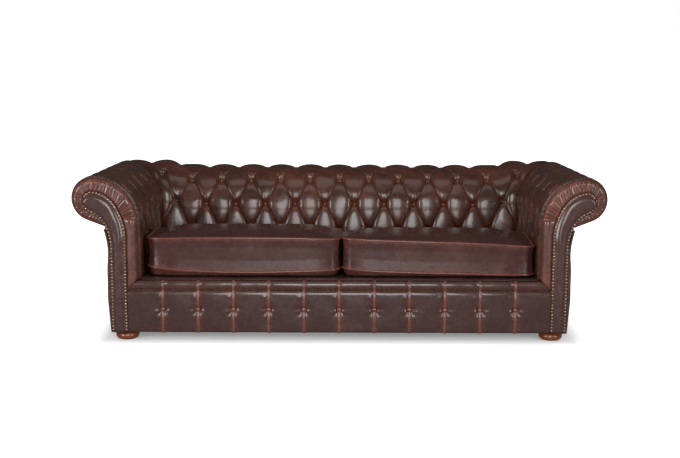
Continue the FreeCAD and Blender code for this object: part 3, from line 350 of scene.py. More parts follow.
def wall_surface(line, start, lean, to_space, columns, buttons, seed):
    """The tufted leather of one wall: a grid of points and the wear of each.

    start is the place along where the wall begins, or None to begin at the left mitre.
    lean brings the foot of the wall forward by that share of its height."""
    grid = []
    masks = []
    sites = []
    for along, part, value, depth in buttons:
        run, height = wall_point(line, part, value, np.array([along]), 0.0)
        sites.append((along, run[0], height[0], value))
    for part, value, phase, depth in WALL_ROWS:
        end_run, _ = wall_point(arm_line, part, value, np.array([INNER_RUN]), MITRE_DEPTH)
        end = end_run[0]
        begin = -end if start is None else start
        along = place_columns(begin, end, columns, phase, start is None)
        run, height, out_run, out_height = line(part, value, along)
        full, across = fullness(along, phase)
        swell = 1 + 0.10 * waves(along, height + 2 * run, 0.31, seed)
        deep = depth * (1 - full * np.clip(swell, 0.9, 1.0))
        rub = 0.25 + 0.22 * waves(along + 3 * run, height, 0.22, seed + 2)
        rub = np.maximum(rub, 0.8 * np.exp(-(np.clip(1 - np.abs(across), 0, 1) * 0.07 / 0.006) ** 2))
        pit = np.ones(len(along))
        for site_along, site_run, site_height, site_value in sites:
            away = np.hypot(along - site_along, np.hypot(run - site_run, height - site_height))
            near = away < 0.09
            if not near.any():
                continue
            side = np.where(height >= site_height, 1.0, -1.0)
            up = side * np.hypot(run - site_run, height - site_height)
            angle = np.arctan2(up, along - site_along)
            folds = 9 + int(31 * abs(site_along)) % 4
            fan = np.exp(-((away - 0.020) / 0.016) ** 2) * (0.75 + 0.5 * np.sin(angle))
            crinkle = CRINKLE_DEPTH * fan * np.cos(folds * angle + 40 * site_along)
            if abs(site_value - ROW_A_ANGLE) < 1:
                spread = np.exp(-((angle - math.pi / 2) / 0.55) ** 2)
                length = np.exp(-((away - 0.038) / 0.022) ** 2)
                above = 11 * (angle - math.pi / 2) + 9 * site_along
                crinkle = crinkle + FAN_DEPTH * spread * length * np.cos(above)
            deep = deep + np.where(near, crinkle, 0)
            pit = np.minimum(pit, 1 - 0.6 * np.exp(-(away / PIT_REACH) ** 2))
            rub = np.maximum(rub, 0.95 * np.exp(-(away / WORN_REACH) ** 2))
        deep = depth - (depth - deep) * pit
        if part == 0:
            deep = deep - lean * (1 - value) * (BACK_TOP - BACK_RISE - SEAT_TUCK)
        from_end = end - np.abs(along) if start is None else end - along
        corner = np.sqrt(np.clip(1 - (1 - np.clip(from_end / MITRE_ROUNDING, 0, 1)) ** 2, 0, 1))
        deep = MITRE_DEPTH + (deep - MITRE_DEPTH) * corner
        if start is not None:
            front = np.clip((along - start) / FRONT_ROUNDING, 0, 1)
            deep = deep * front + 0.0005 * (1 - front)
        grid.append(to_space(run - deep * out_run, along, height - deep * out_height))
        masks.append(rub)
    return np.array(grid), np.array(masks)


def place_columns(begin, end, count, phase, both_ways):
    """Places of the grid's columns: they follow the creases as far as the last full column."""
    wide = 1 - abs(1 - (phase % 2))
    width = PIT + (PITCH - 2 * PIT) * wide
    edge = LAST_COLUMN + width / 2
    inside = []
    first = -COLUMNS if both_ways else 1
    steps = 0.5 - 0.5 * np.cos(np.pi * np.arange(count) / count)
    for number in range(first, COLUMNS + 1):
        left = number * PITCH - width / 2
        inside.append(left + width * steps)
        if number < COLUMNS:
            inside.append(left + width + (PITCH - width) * steps)
    corner = edge + (end - edge) * np.linspace(0, 1, 4 * count)
    if both_ways:
        inside[0] = inside[0][1:]
        return np.concatenate([-corner[::-1]] + inside + [corner])
    columns = np.concatenate(inside + [corner])
    return np.maximum(columns, begin + 0.0001 * np.arange(len(columns)))


def inner_surface(line, grid_along, to_space):
    """The flat back of a cover: a few rows at the full depth of the pad."""
    rows = []
    stations = [(0, 0.0, 1.0), (0, 0.5, 1.0)] + [(1, degrees, 1.0) for degrees in range(0, 90, 9)]
    stations += [(2, 90, 1.0), (2, 55, 1.0), (2, 20, 1.0), (2, -15, 0.9), (2, -45, 0.7)]
    stations += [(2, -NECK_ANGLE, 0.5), (3, 1.0, 0.18)]
    for part, value, share in stations:
        depth = COVER_DEPTH * share
        end_run, _ = wall_point(arm_line, part, value, np.array([INNER_RUN]), depth)
        along = np.clip(grid_along, -end_run[0], end_run[0])
        stretch = grid_along / max(abs(grid_along[0]), abs(grid_along[-1])) * end_run[0]
        along = np.where(np.abs(grid_along) > LAST_COLUMN, stretch, along)
        along[-1] = end_run[0]
        if grid_along[0] < 0:
            along[0] = -end_run[0]
            along = np.sort(along)
        run, height = wall_point(line, part, value, along, depth)
        rows.append(to_space(run, along, height))
    return np.array(rows)


def back_space(run, along, height):
    """Points of the back."""
    return np.stack([along + 0 * run, run - RUN_SHIFT, height + 0 * run], axis=-1)


def arm_space(run, along, height):
    """Points of the right arm."""
    return np.stack([run, along - RUN_SHIFT + 0 * run, height + 0 * run], axis=-1)


ARM_START = ARM_COVER[0].y + RUN_SHIFT
BACK_BUTTONS = button_places(-COLUMNS, COLUMNS)
ARM_BUTTONS = [row for row in button_places(1, COLUMNS) if row[0] > ARM_START + 0.02]


def back_leather():
    """The tufted leather of the back."""
    grid, masks = wall_surface(back_line, None, BACK_LEAN, back_space, 16, BACK_BUTTONS, SEED)
    inner = inner_surface(back_line, grid[0][:, 0].copy(), back_space)
    return shell("back_tufted_leather", grid, inner, False, masks)


def arm_leather():
    """The tufted leather of the right arm."""
    grid, masks = wall_surface(arm_line, ARM_START, 0.0, arm_space, 16, ARM_BUTTONS, SEED + 1)
    inner = inner_surface(arm_line, grid[0][:, 1] + RUN_SHIFT, arm_space)
    return shell("right_arm_tufted_leather", grid, inner, True, masks)


# Node trees


def new_node(tree, kind, inputs=None, **settings):
    """A node with the given settings, its inputs set to values or joined to other nodes' outputs."""
    node = tree.nodes.new(kind)
    for key, value in settings.items():
        setattr(node, key, value)
    for key, item in (inputs or {}).items():
        if isinstance(item, bpy.types.NodeSocket):
            join(tree, item, node.inputs[key])
        elif item is not None:
            node.inputs[key].default_value = item
    return node


def join(tree, source, target):
    """A link between two sockets."""
    tree.links.new(source, target)


def add_socket(tree, name, direction, kind, value=None):
    """An input or output of a node group."""
    socket = tree.interface.new_socket(name=name, in_out=direction, socket_type=kind)
    if value is not None:
        socket.default_value = value


def noise(tree, vector, scale, detail, roughness=0.55, distortion=0.0):
    """Cloudy numbers from 0 to 1 over the given coordinates."""
    inputs = {"Vector": vector, "Scale": scale, "Detail": detail, "Roughness": roughness,
              "Distortion": distortion}
    return new_node(tree, "ShaderNodeTexNoise", inputs).outputs["Fac"]


def math_node(tree, operation, first, second=None, clamp=False):
    """One step of arithmetic on sockets or numbers."""
    node = new_node(tree, "ShaderNodeMath", {0: first, 1: second}, operation=operation, use_clamp=clamp)
    return node.outputs["Value"]


def remap(tree, value, low, high, new_low, new_high):
    """A number from one range brought to another."""
    inputs = {"Value": value, "From Min": low, "From Max": high, "To Min": new_low, "To Max": new_high}
    return new_node(tree, "ShaderNodeMapRange", inputs).outputs["Result"]


def blend(tree, share, first, second, kind="MIX"):
    """A mix of two colours."""
    inputs = {0: share, 6: first, 7: second}
    return new_node(tree, "ShaderNodeMix", inputs, data_type="RGBA", blend_type=kind).outputs[2]


def effect_group(name, inputs, outputs):
    """A node group with named inputs and outputs: the group and the sockets at its two ends."""
    tree = bpy.data.node_groups.new(name, "ShaderNodeTree")
    add_socket(tree, "Vector", "INPUT", "NodeSocketVector")
    for label, value in inputs.items():
        kind = "NodeSocketColor" if isinstance(value, tuple) else "NodeSocketFloat"
        add_socket(tree, label, "INPUT", kind, value)
    for label in outputs:
        add_socket(tree, label, "OUTPUT", "NodeSocketColor" if label == "Color" else "NodeSocketFloat")
    return tree, new_node(tree, "NodeGroupInput").outputs, new_node(tree, "NodeGroupOutput").inputs


def enlarged(tree, vector, scale):
    """Coordinates multiplied by a number or a socket."""
    inputs = {"Vector": vector, "Scale": scale}
    return new_node(tree, "ShaderNodeVectorMath", inputs, operation="SCALE").outputs["Vector"]


def leather_group():
    """Two-tone antique leather: dark with a rust rub-off, a fine pebble grain and faint wrinkles."""
    tree, given, result = effect_group(
        "antique_leather",
        {"Deep": (0.05, 0.02, 0.015, 1), "Rub": (0.15, 0.05, 0.03, 1), "Mask": 0.0, "Patchiness": 0.3},
        ("Color", "Roughness", "Height"))
    place = given["Vector"]
    patches = noise(tree, place, 7.0, 4.0)
    mottle = noise(tree, place, 55.0, 5.0, 0.65)
    flecks = noise(tree, place, 260.0, 3.0)
    worn = math_node(tree, "MULTIPLY", given["Mask"], remap(tree, mottle, 0.3, 0.7, 0.55, 1.25))
    patch = math_node(tree, "MULTIPLY", remap(tree, patches, 0.48, 0.72, 0.0, 1.0), given["Patchiness"])
    share = math_node(tree, "ADD", worn, patch, clamp=True)
    base = blend(tree, share, given["Deep"], given["Rub"])
    tone = remap(tree, math_node(tree, "ADD", mottle, flecks), 0.6, 1.4, 0.78, 1.22)
    grey = new_node(tree, "ShaderNodeCombineColor", {"Red": tone, "Green": tone, "Blue": tone})
    join(tree, blend(tree, 1.0, base, grey.outputs["Color"], "MULTIPLY"), result["Color"])
    polish = remap(tree, mottle, 0.3, 0.7, 0.20, 0.30)
    dull = math_node(tree, "MULTIPLY", share, 0.14)
    join(tree, math_node(tree, "ADD", polish, dull), result["Roughness"])
    pebbles = new_node(tree, "ShaderNodeTexVoronoi", {"Vector": place}, feature="SMOOTH_F1")
    pebbles.inputs["Scale"].default_value = 560.0
    creases = noise(tree, place, 34.0, 5.0, 0.6, 0.7)
    folds = math_node(tree, "ABSOLUTE", math_node(tree, "SUBTRACT", creases, 0.5))
    fine = math_node(tree, "MULTIPLY", pebbles.outputs["Distance"], 0.22)
    join(tree, math_node(tree, "ADD", fine, math_node(tree, "MULTIPLY", folds, 1.6)), result["Height"])
    return tree


def tarnish_group():
    """Metal with darker tarnish in patches."""
    tree, given, result = effect_group(
        "tarnish", {"Bright": (0.7, 0.7, 0.7, 1), "Dark": (0.3, 0.3, 0.3, 1), "Scale": 100.0, "Polish": 0.3},
        ("Color", "Roughness"))
    patches = noise(tree, enlarged(tree, given["Vector"], given["Scale"]), 1.0, 4.0)
    share = remap(tree, patches, 0.35, 0.65, 0.0, 1.0)
    join(tree, blend(tree, share, given["Bright"], given["Dark"]), result["Color"])
    dull = remap(tree, patches, 0.3, 0.7, 0.0, 0.2)
    join(tree, math_node(tree, "ADD", given["Polish"], dull), result["Roughness"])
    return tree


def grain_group():
    """Growth rings and fine pores drawn out along the grain."""
    tree, given, result = effect_group(
        "wood_grain", {"Light": (0.6, 0.4, 0.2, 1), "Dark": (0.4, 0.2, 0.1, 1), "Scale": 4.0},
        ("Color", "Height"))
    sized = enlarged(tree, given["Vector"], given["Scale"])
    stretch = new_node(tree, "ShaderNodeMapping", {"Vector": sized, "Scale": (0.6, 6.0, 6.0)})
    rings = noise(tree, stretch.outputs["Vector"], 1.0, 4.0, 0.6, 1.2)
    pores = noise(tree, stretch.outputs["Vector"], 14.0, 3.0)
    bands = math_node(tree, "PINGPONG", math_node(tree, "MULTIPLY", rings, 9.0), 1.0)
    tone = math_node(tree, "ADD", math_node(tree, "MULTIPLY", bands, 0.7),
                     math_node(tree, "MULTIPLY", pores, 0.3), clamp=True)
    join(tree, blend(tree, tone, given["Light"], given["Dark"]), result["Color"])
    join(tree, pores, result["Height"])
    return tree


def weave_group():
    """Plain weave, with the number of threads per metre."""
    tree, given, result = effect_group(
        "plain_weave", {"Light": (0.5, 0.4, 0.3, 1), "Dark": (0.2, 0.1, 0.1, 1), "Threads": 450.0},
        ("Color", "Height"))
    threads = enlarged(tree, given["Vector"], given["Threads"])
    parts = new_node(tree, "ShaderNodeSeparateXYZ", {"Vector": threads})
    crossing = []
    for way in (parts.outputs["X"], math_node(tree, "ADD", parts.outputs["Y"], parts.outputs["Z"])):
        turn = math_node(tree, "MULTIPLY", way, math.pi)
        crossing.append(math_node(tree, "ABSOLUTE", math_node(tree, "SINE", turn)))
    raised = math_node(tree, "MULTIPLY", crossing[0], crossing[1])
    fibre = remap(tree, noise(tree, threads, 0.6, 4.0), 0.3, 0.7, 0.6, 1.2)
    tone = math_node(tree, "MULTIPLY", raised, fibre, clamp=True)
    join(tree, blend(tree, tone, given["Dark"], given["Light"]), result["Color"])
    join(tree, raised, result["Height"])
    return tree


LEATHER = leather_group()
TARNISH = tarnish_group()
GRAIN = grain_group()
WEAVE = weave_group()


def principled(name):
    """A new material and its shader."""
    material = bpy.data.materials.new(name)
    material.use_nodes = True
    return material, material.node_tree, material.node_tree.nodes["Principled BSDF"]


def object_place(tree):
    """Object coordinates."""
    return new_node(tree, "ShaderNodeTexCoord").outputs["Object"]


def placed(tree, group, values):
    """A node group put in a material on Object coordinates, with its own values."""
    return new_node(tree, "ShaderNodeGroup", {"Vector": object_place(tree)} | values, node_tree=group)


def raise_relief(tree, shader, height, strength, distance):
    """A height turned into the shader's relief."""
    relief = new_node(tree, "ShaderNodeBump", {"Height": height, "Strength": strength, "Distance": distance})
    join(tree, relief.outputs["Normal"], shader.inputs["Normal"])


def leather(name, deep, rub, patchiness, bump, masked=True, coat=0.4):
    """A leather finish whose wear follows the piece's own wear mask."""
    material, tree, shader = principled(name)
    finish = placed(tree, LEATHER, {"Deep": deep + (1,), "Rub": rub + (1,), "Patchiness": patchiness})
    if masked:
        mask = new_node(tree, "ShaderNodeAttribute", attribute_name="rub")
        join(tree, mask.outputs["Fac"], finish.inputs["Mask"])
    join(tree, finish.outputs["Color"], shader.inputs["Base Color"])
    join(tree, finish.outputs["Roughness"], shader.inputs["Roughness"])
    raise_relief(tree, shader, finish.outputs["Height"], bump, 0.0012)
    shader.inputs["Coat Weight"].default_value = coat
    shader.inputs["Coat Roughness"].default_value = 0.12
    shader.inputs["IOR"].default_value = 1.5
    return material


DEEP_BROWN = (0.039, 0.0150, 0.0105)
RUST = (0.105, 0.029, 0.0125)
COVER_LEATHER = leather("cover_leather", DEEP_BROWN, RUST, 0.35, 0.35)
TRIM_LEATHER = leather("trim_leather", (0.060, 0.021, 0.0150), (0.150, 0.044, 0.025), 0.45, 0.3)
FACING_LEATHER = leather("facing_leather", (0.052, 0.024, 0.021), (0.082, 0.030, 0.023), 0.25, 0.25, False)
CUSHION_LEATHER = leather("cushion_leather", (0.047, 0.0155, 0.0130), (0.105, 0.030, 0.021), 0.30, 0.3,
                          coat=0.2)
PIPING_LEATHER = leather("piping_leather", (0.120, 0.040, 0.027), (0.180, 0.064, 0.040), 0.40, 0.3, False)
PLINTH_LEATHER = leather("plinth_leather", (0.042, 0.0190, 0.0170), (0.120, 0.038, 0.025), 0.15, 0.25)


def give(piece, material):
    """The piece's one material."""
    piece.data.materials.clear()
    piece.data.materials.append(material)


def dress(piece, material, nodes=(), body="frame"):
    """Sets a piece's material and body, and hides the nodes it stands for."""
    give(piece, material)
    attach(piece, body)
    if nodes:
        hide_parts(*nodes)


# Arms and back

back = back_leather()
right_arm = arm_leather()
left_arm = mirrored(right_arm, "left_arm_tufted_leather")
for piece, part in ((back, "back"), (right_arm, "right_arm"), (left_arm, "left_arm")):
    dress(piece, COVER_LEATHER, (part + "_tufted_cover", part + "_foam"))


# Repeated shapes: buttons, nails, tabs and springs are set on points


def dome_shape(name, width, height, rings, segments):
    """A closed shallow dome on the origin."""
    points = []
    for ring in range(rings):
        angle = ring / rings * math.pi / 2
        for segment in range(segments):
            turn = 2 * math.pi * segment / segments
            reach = width / 2 * math.cos(angle)
            points.append((reach * math.cos(turn), reach * math.sin(turn), height * math.sin(angle)))
    points.append((0, 0, height))
    faces = [tuple(reversed(range(segments)))]
    faces += ring_faces(rings, segments)
    last = (rings - 1) * segments
    for segment in range(segments):
        faces.append((last + segment, last + (segment + 1) % segments, len(points) - 1))
    return add_mesh(name, points, faces, [False] + [True] * (len(faces) - 1))


def set_on_points_tree():
    """Puts a shape on each point, its top along the point's facing, each a little uneven."""
    tree = bpy.data.node_groups.new("set_on_points", "GeometryNodeTree")
    add_socket(tree, "Geometry", "INPUT", "NodeSocketGeometry")
    add_socket(tree, "Shape", "INPUT", "NodeSocketObject")
    add_socket(tree, "Uneven", "INPUT", "NodeSocketFloat", 0.03)
    add_socket(tree, "Turn", "INPUT", "NodeSocketFloat", 0.0)
    add_socket(tree, "Finish", "INPUT", "NodeSocketMaterial")
    add_socket(tree, "Geometry", "OUTPUT", "NodeSocketGeometry")
    given = new_node(tree, "NodeGroupInput")
    result = new_node(tree, "NodeGroupOutput")
    facing = new_node(tree, "GeometryNodeInputNamedAttribute", data_type="FLOAT_VECTOR")
    facing.inputs["Name"].default_value = "facing"
    align = new_node(tree, "FunctionNodeAlignRotationToVector", {"Vector": facing.outputs["Attribute"]},
                     axis="Z")
    turn = new_node(tree, "FunctionNodeRandomValue", {"Seed": SEED, 3: given.outputs["Turn"]},
                    data_type="FLOAT")
    about = new_node(tree, "FunctionNodeAxisAngleToRotation", {"Axis": (0, 0, 1), "Angle": turn.outputs[1]})
    turned = new_node(tree, "FunctionNodeRotateRotation",
                      {"Rotation": align.outputs["Rotation"], "Rotate By": about.outputs["Rotation"]},
                      rotation_space="LOCAL")
    smallest = math_node(tree, "SUBTRACT", 1.0, given.outputs["Uneven"])
    largest = math_node(tree, "ADD", 1.0, given.outputs["Uneven"])
    grow = new_node(tree, "FunctionNodeRandomValue", {"Seed": SEED + 1, 2: smallest, 3: largest},
                    data_type="FLOAT")
    shape = new_node(tree, "GeometryNodeObjectInfo", {"Object": given.outputs["Shape"]})
    place = new_node(tree, "GeometryNodeInstanceOnPoints",
                     {"Points": given.outputs["Geometry"], "Instance": shape.outputs["Geometry"],
                      "Rotation": turned.outputs["Rotation"], "Scale": grow.outputs[1]})
    real = new_node(tree, "GeometryNodeRealizeInstances", {"Geometry": place.outputs["Instances"]})
    finish = new_node(tree, "GeometryNodeSetMaterial",
                      {"Geometry": real.outputs["Geometry"], "Material": given.outputs["Finish"]})
    join(tree, finish.outputs["Geometry"], result.inputs["Geometry"])
    return tree


SET_ON_POINTS = set_on_points_tree()


def set_out(name, shape, places, facings, material, uneven=0.03, turn=0.0):
    """One piece with the shape on each place, as a plain mesh. The shape itself is removed."""
    give(shape, material)
    mesh = bpy.data.meshes.new(name)
    mesh.from_pydata([tuple(place) for place in places], [], [])
    layer = mesh.attributes.new("facing", "FLOAT_VECTOR", "POINT")
    layer.data.foreach_set("vector", np.asarray(facings, np.float32).ravel())
    piece = bpy.data.objects.new(name, mesh)
    bpy.context.scene.collection.objects.link(piece)
    modifier = piece.modifiers.new("set_on_points", "NODES")
    modifier.node_group = SET_ON_POINTS
    given = {"Shape": shape, "Uneven": uneven, "Turn": turn, "Finish": material}
    for item in SET_ON_POINTS.interface.items_tree:
        if item.item_type == "SOCKET" and item.in_out == "INPUT" and item.name in given:
            modifier[item.identifier] = given[item.name]
    depsgraph = bpy.context.evaluated_depsgraph_get()
    made = bpy.data.meshes.new_from_object(piece.evaluated_get(depsgraph))
    made.name = name
    piece.modifiers.remove(modifier)
    piece.data = made
    give(piece, material)
    bpy.data.objects.remove(shape)
    return piece


def wall_buttons(name, line, buttons, to_space, side=1):
    """The buttons of one wall at the bottom of their pits."""
    places = []
    facings = []
    for along, part, value, depth in buttons:
        run, height, out_run, out_height = line(part, value, np.array([along]))
        place = to_space(run - depth * out_run, np.array([along]), height - depth * out_height)[0]
        none = np.array([0.0])
        out = to_space(out_run, none, out_height)[0] - to_space(none, none, none)[0]
        places.append((side * place[0], place[1], place[2]))
        facings.append((side * out[0], out[1], out[2]))
    shape = dome_shape("button", BUTTON_WIDTH, 0.006, 4, 12)
    return set_out(name, shape, places, facings, BUTTON_LEATHER, 0.03, ANY_TURN)


BUTTON_LEATHER = leather("button_leather", (0.110, 0.038, 0.024), (0.230, 0.070, 0.036), 0.6, 0.3,
                         False, 0.5)

for part, line, buttons, to_space, side in (
        ("back", back_line, BACK_BUTTONS, back_space, 1),
        ("right_arm", arm_line, ARM_BUTTONS, arm_space, 1),
        ("left_arm", arm_line, ARM_BUTTONS, arm_space, -1)):
    button_set = wall_buttons(part + "_button_set", line, buttons, to_space, side)
    dress(button_set, BUTTON_LEATHER, (part + "_buttons",))

# Scroll facings, their nails and the ruched borders round them

FOOT_LINE = FACING[0].z
FACE = FACING[0].y
BORDER_FACE = BORDER[0].y
BORDER_BACK = BORDER[1].y
BORDER_INSET = 0.008
BORDER_ROUNDING = 0.020
NAIL_INSET = 0.006
NAIL_PITCH = 0.014
NAIL_WIDTH = 0.0096
NAIL_HEIGHT = 0.003
SEAM_HEIGHT = 0.530
RUCHE_DEPTH = 0.0052
FACING_CROWN = 0.0115
FACING_IN, FACING_OUT = 0.913, 0.982
STRAIGHT_IN, STRAIGHT_OUT = (FACING_IN, 0.421), (FACING_OUT, 0.400)
SHOULDER_IN, NECK_OUT = (0.951, 0.586), (1.008, 0.511)
SCROLL_TOP, SCROLL_TIP, SCROLL_FOOT = (1.060, 0.652), (1.096, 0.603), (1.061, 0.557)
BORDER_FOOT_IN, BORDER_FOOT_OUT = 0.2235, 0.272
BORDER_STRAIGHT_TOP = 0.430
FOLD_GAPS = (0.026, 0.044)
FOLD_SLANT = 0.010
FOLD_WIDTH = 0.0026


def arc(start, middle, end, count):
    """Evenly spaced points on the arc through three points."""
    (ax, ay), (bx, by), (cx, cy) = start, middle, end
    double = 2 * (ax * (by - cy) + bx * (cy - ay) + cx * (ay - by))
    a, b, c = ax * ax + ay * ay, bx * bx + by * by, cx * cx + cy * cy
    ux = (a * (by - cy) + b * (cy - ay) + c * (ay - by)) / double
    uy = (a * (cx - bx) + b * (ax - cx) + c * (bx - ax)) / double
    first = math.atan2(ay - uy, ax - ux)
    whole = 2 * math.pi
    through = (math.atan2(by - uy, bx - ux) - first) % whole
    last = (math.atan2(cy - uy, cx - ux) - first) % whole
    if through > last:
        last -= whole
    angles = first + np.linspace(0, last, count)
    radius = math.hypot(ax - ux, ay - uy)
    return np.stack([ux + radius * np.cos(angles), uy + radius * np.sin(angles)], axis=1)


def resample(points, count):
    """Evenly spaced points along a line of points."""
    points = np.asarray(points, float)
    steps = np.hypot(*np.diff(points, axis=0).T)
    length = np.concatenate([[0], np.cumsum(steps)])
    wanted = np.linspace(0, length[-1], count)
    return np.stack([np.interp(wanted, length, points[:, axis]) for axis in (0, 1)], axis=1)


FACING_INNER = [
    np.array([(FACING_IN, FOOT_LINE), STRAIGHT_IN]), arc(STRAIGHT_IN, (0.922, 0.516), SHOULDER_IN, 40),
    arc(SHOULDER_IN, (0.997, 0.633), SCROLL_TOP, 40),
    arc(SCROLL_TOP, SCROLL_TIP, SCROLL_FOOT, 81)[:41],
]
FACING_OUTER = [
    np.array([(FACING_OUT, FOOT_LINE), STRAIGHT_OUT]), arc(STRAIGHT_OUT, (0.989, 0.4585), NECK_OUT, 40),
    arc(NECK_OUT, (1.028, 0.536), SCROLL_FOOT, 40),
    arc(SCROLL_TOP, SCROLL_TIP, SCROLL_FOOT, 81)[40:][::-1],
]
FACING_STEPS = (26, 22, 22, 18)


def weld(piece):
    """Joins points that lie on each other."""
    work = bmesh.new()
    work.from_mesh(piece.data)
    bmesh.ops.remove_doubles(work, verts=work.verts, dist=1e-6)
    work.to_mesh(piece.data)
    work.free()


def scroll_facing():
    """The padded panel of the right arm's front, crowned between its two rows of nails."""
    across = 0.5 - 0.5 * np.cos(np.pi * np.arange(19) / 18)
    grid = []
    for inner, outer, steps in zip(FACING_INNER, FACING_OUTER, FACING_STEPS):
        ends = zip(resample(inner, steps), resample(outer, steps))
        for number, (first, last) in enumerate(ends):
            if number == 0 and grid:
                continue
            width = np.hypot(*(last - first))
            edge = np.minimum(across, 1 - across) * width
            crown = np.interp(edge, [0, 0.0015, 0.004, 0.0095, 0.034], [-0.006, -0.0015, 0, 0, 1])
            crown = np.where(crown > 0, FACING_CROWN * np.sin(np.clip(crown, 0, 1) * math.pi / 2), crown)
            spot = first + across[:, None] * (last - first)
            ripple = 0.0006 * waves(spot[:, 0], spot[:, 1], 0.09, SEED + 4) * np.clip(edge / 0.01, 0, 1)
            grid.append(np.stack([spot[:, 0], FACE - crown - ripple, spot[:, 1]], axis=-1))
    grid = np.array(grid)
    back_grid = grid.copy()
    back_grid[:, :, 1] = FACING[1].y
    piece = shell("right_scroll_panel", grid, back_grid, False, np.zeros(grid.shape[:2]))
    weld(piece)
    return piece


def nail_places():
    """Nails side by side along both edges of the facing."""
    line = [part for part in FACING_INNER] + [part[::-1] for part in reversed(FACING_OUTER)]
    line = resample(np.concatenate(line), 900)
    ahead = np.gradient(line, axis=0)
    ahead /= np.hypot(*ahead.T)[:, None]
    inward = np.stack([ahead[:, 1], -ahead[:, 0]], axis=1)
    inset = line + NAIL_INSET * inward
    inset = inset[inset[:, 1] > FOOT_LINE + 2 * NAIL_INSET]
    length = np.hypot(*np.diff(inset, axis=0).T).sum()
    return resample(inset, int(length / NAIL_PITCH))


def border_lines():
    """Pairs of lines, on the roll's edge and on the facing's edge, from the lip round to the neck."""
    roll = ROLL_RADIUS - BORDER_INSET
    shoulder = ARM_RISE - BORDER_INSET
    shoulder_height = ARM_TOP - ARM_RISE
    roll_height = ARM_TOP - ROLL_RADIUS
    seam = math.degrees(math.asin((SEAM_HEIGHT - shoulder_height) / shoulder))

    def on_shoulder(first, last):
        angles = np.radians(180 - np.linspace(first, last, 40))
        height = shoulder_height + shoulder * np.sin(angles)
        return np.stack([ROLL_RUN + shoulder * np.cos(angles), height], axis=1)

    def on_roll(first, last):
        angles = np.radians(np.linspace(first, last, 40))
        return np.stack([ROLL_RUN + roll * np.cos(angles), roll_height + roll * np.sin(angles)], axis=1)
    upper = FACING_INNER[1]
    split = int(np.argmin(np.abs(upper[:, 1] - SEAM_HEIGHT)))
    side = INNER_RUN + BORDER_INSET
    underside = on_roll(-NECK_ANGLE, -NECK_ANGLE)[0]
    neck = (NECK[0] - 0.001, NECK[1] + 0.008)
    return [
        (np.array([(side, BORDER_FOOT_OUT), (side, BORDER_STRAIGHT_TOP)]),
         np.array([(FACING_IN, BORDER_FOOT_IN), STRAIGHT_IN])),
        (np.concatenate([[(side, BORDER_STRAIGHT_TOP), (side, shoulder_height)], on_shoulder(0, seam)[1:]]),
         upper[:split + 1]),
        (on_shoulder(seam, 45), upper[split:]),
        (on_shoulder(45, 90), FACING_INNER[2]),
        (on_roll(90, 0), FACING_INNER[3]),
        (on_roll(0, -NECK_ANGLE), FACING_OUTER[3][::-1]),
        (np.array([underside, neck]), FACING_OUTER[2][::-1]),
    ]


BORDER_STEPS = (16, 12, 38, 48, 48, 40, 22)


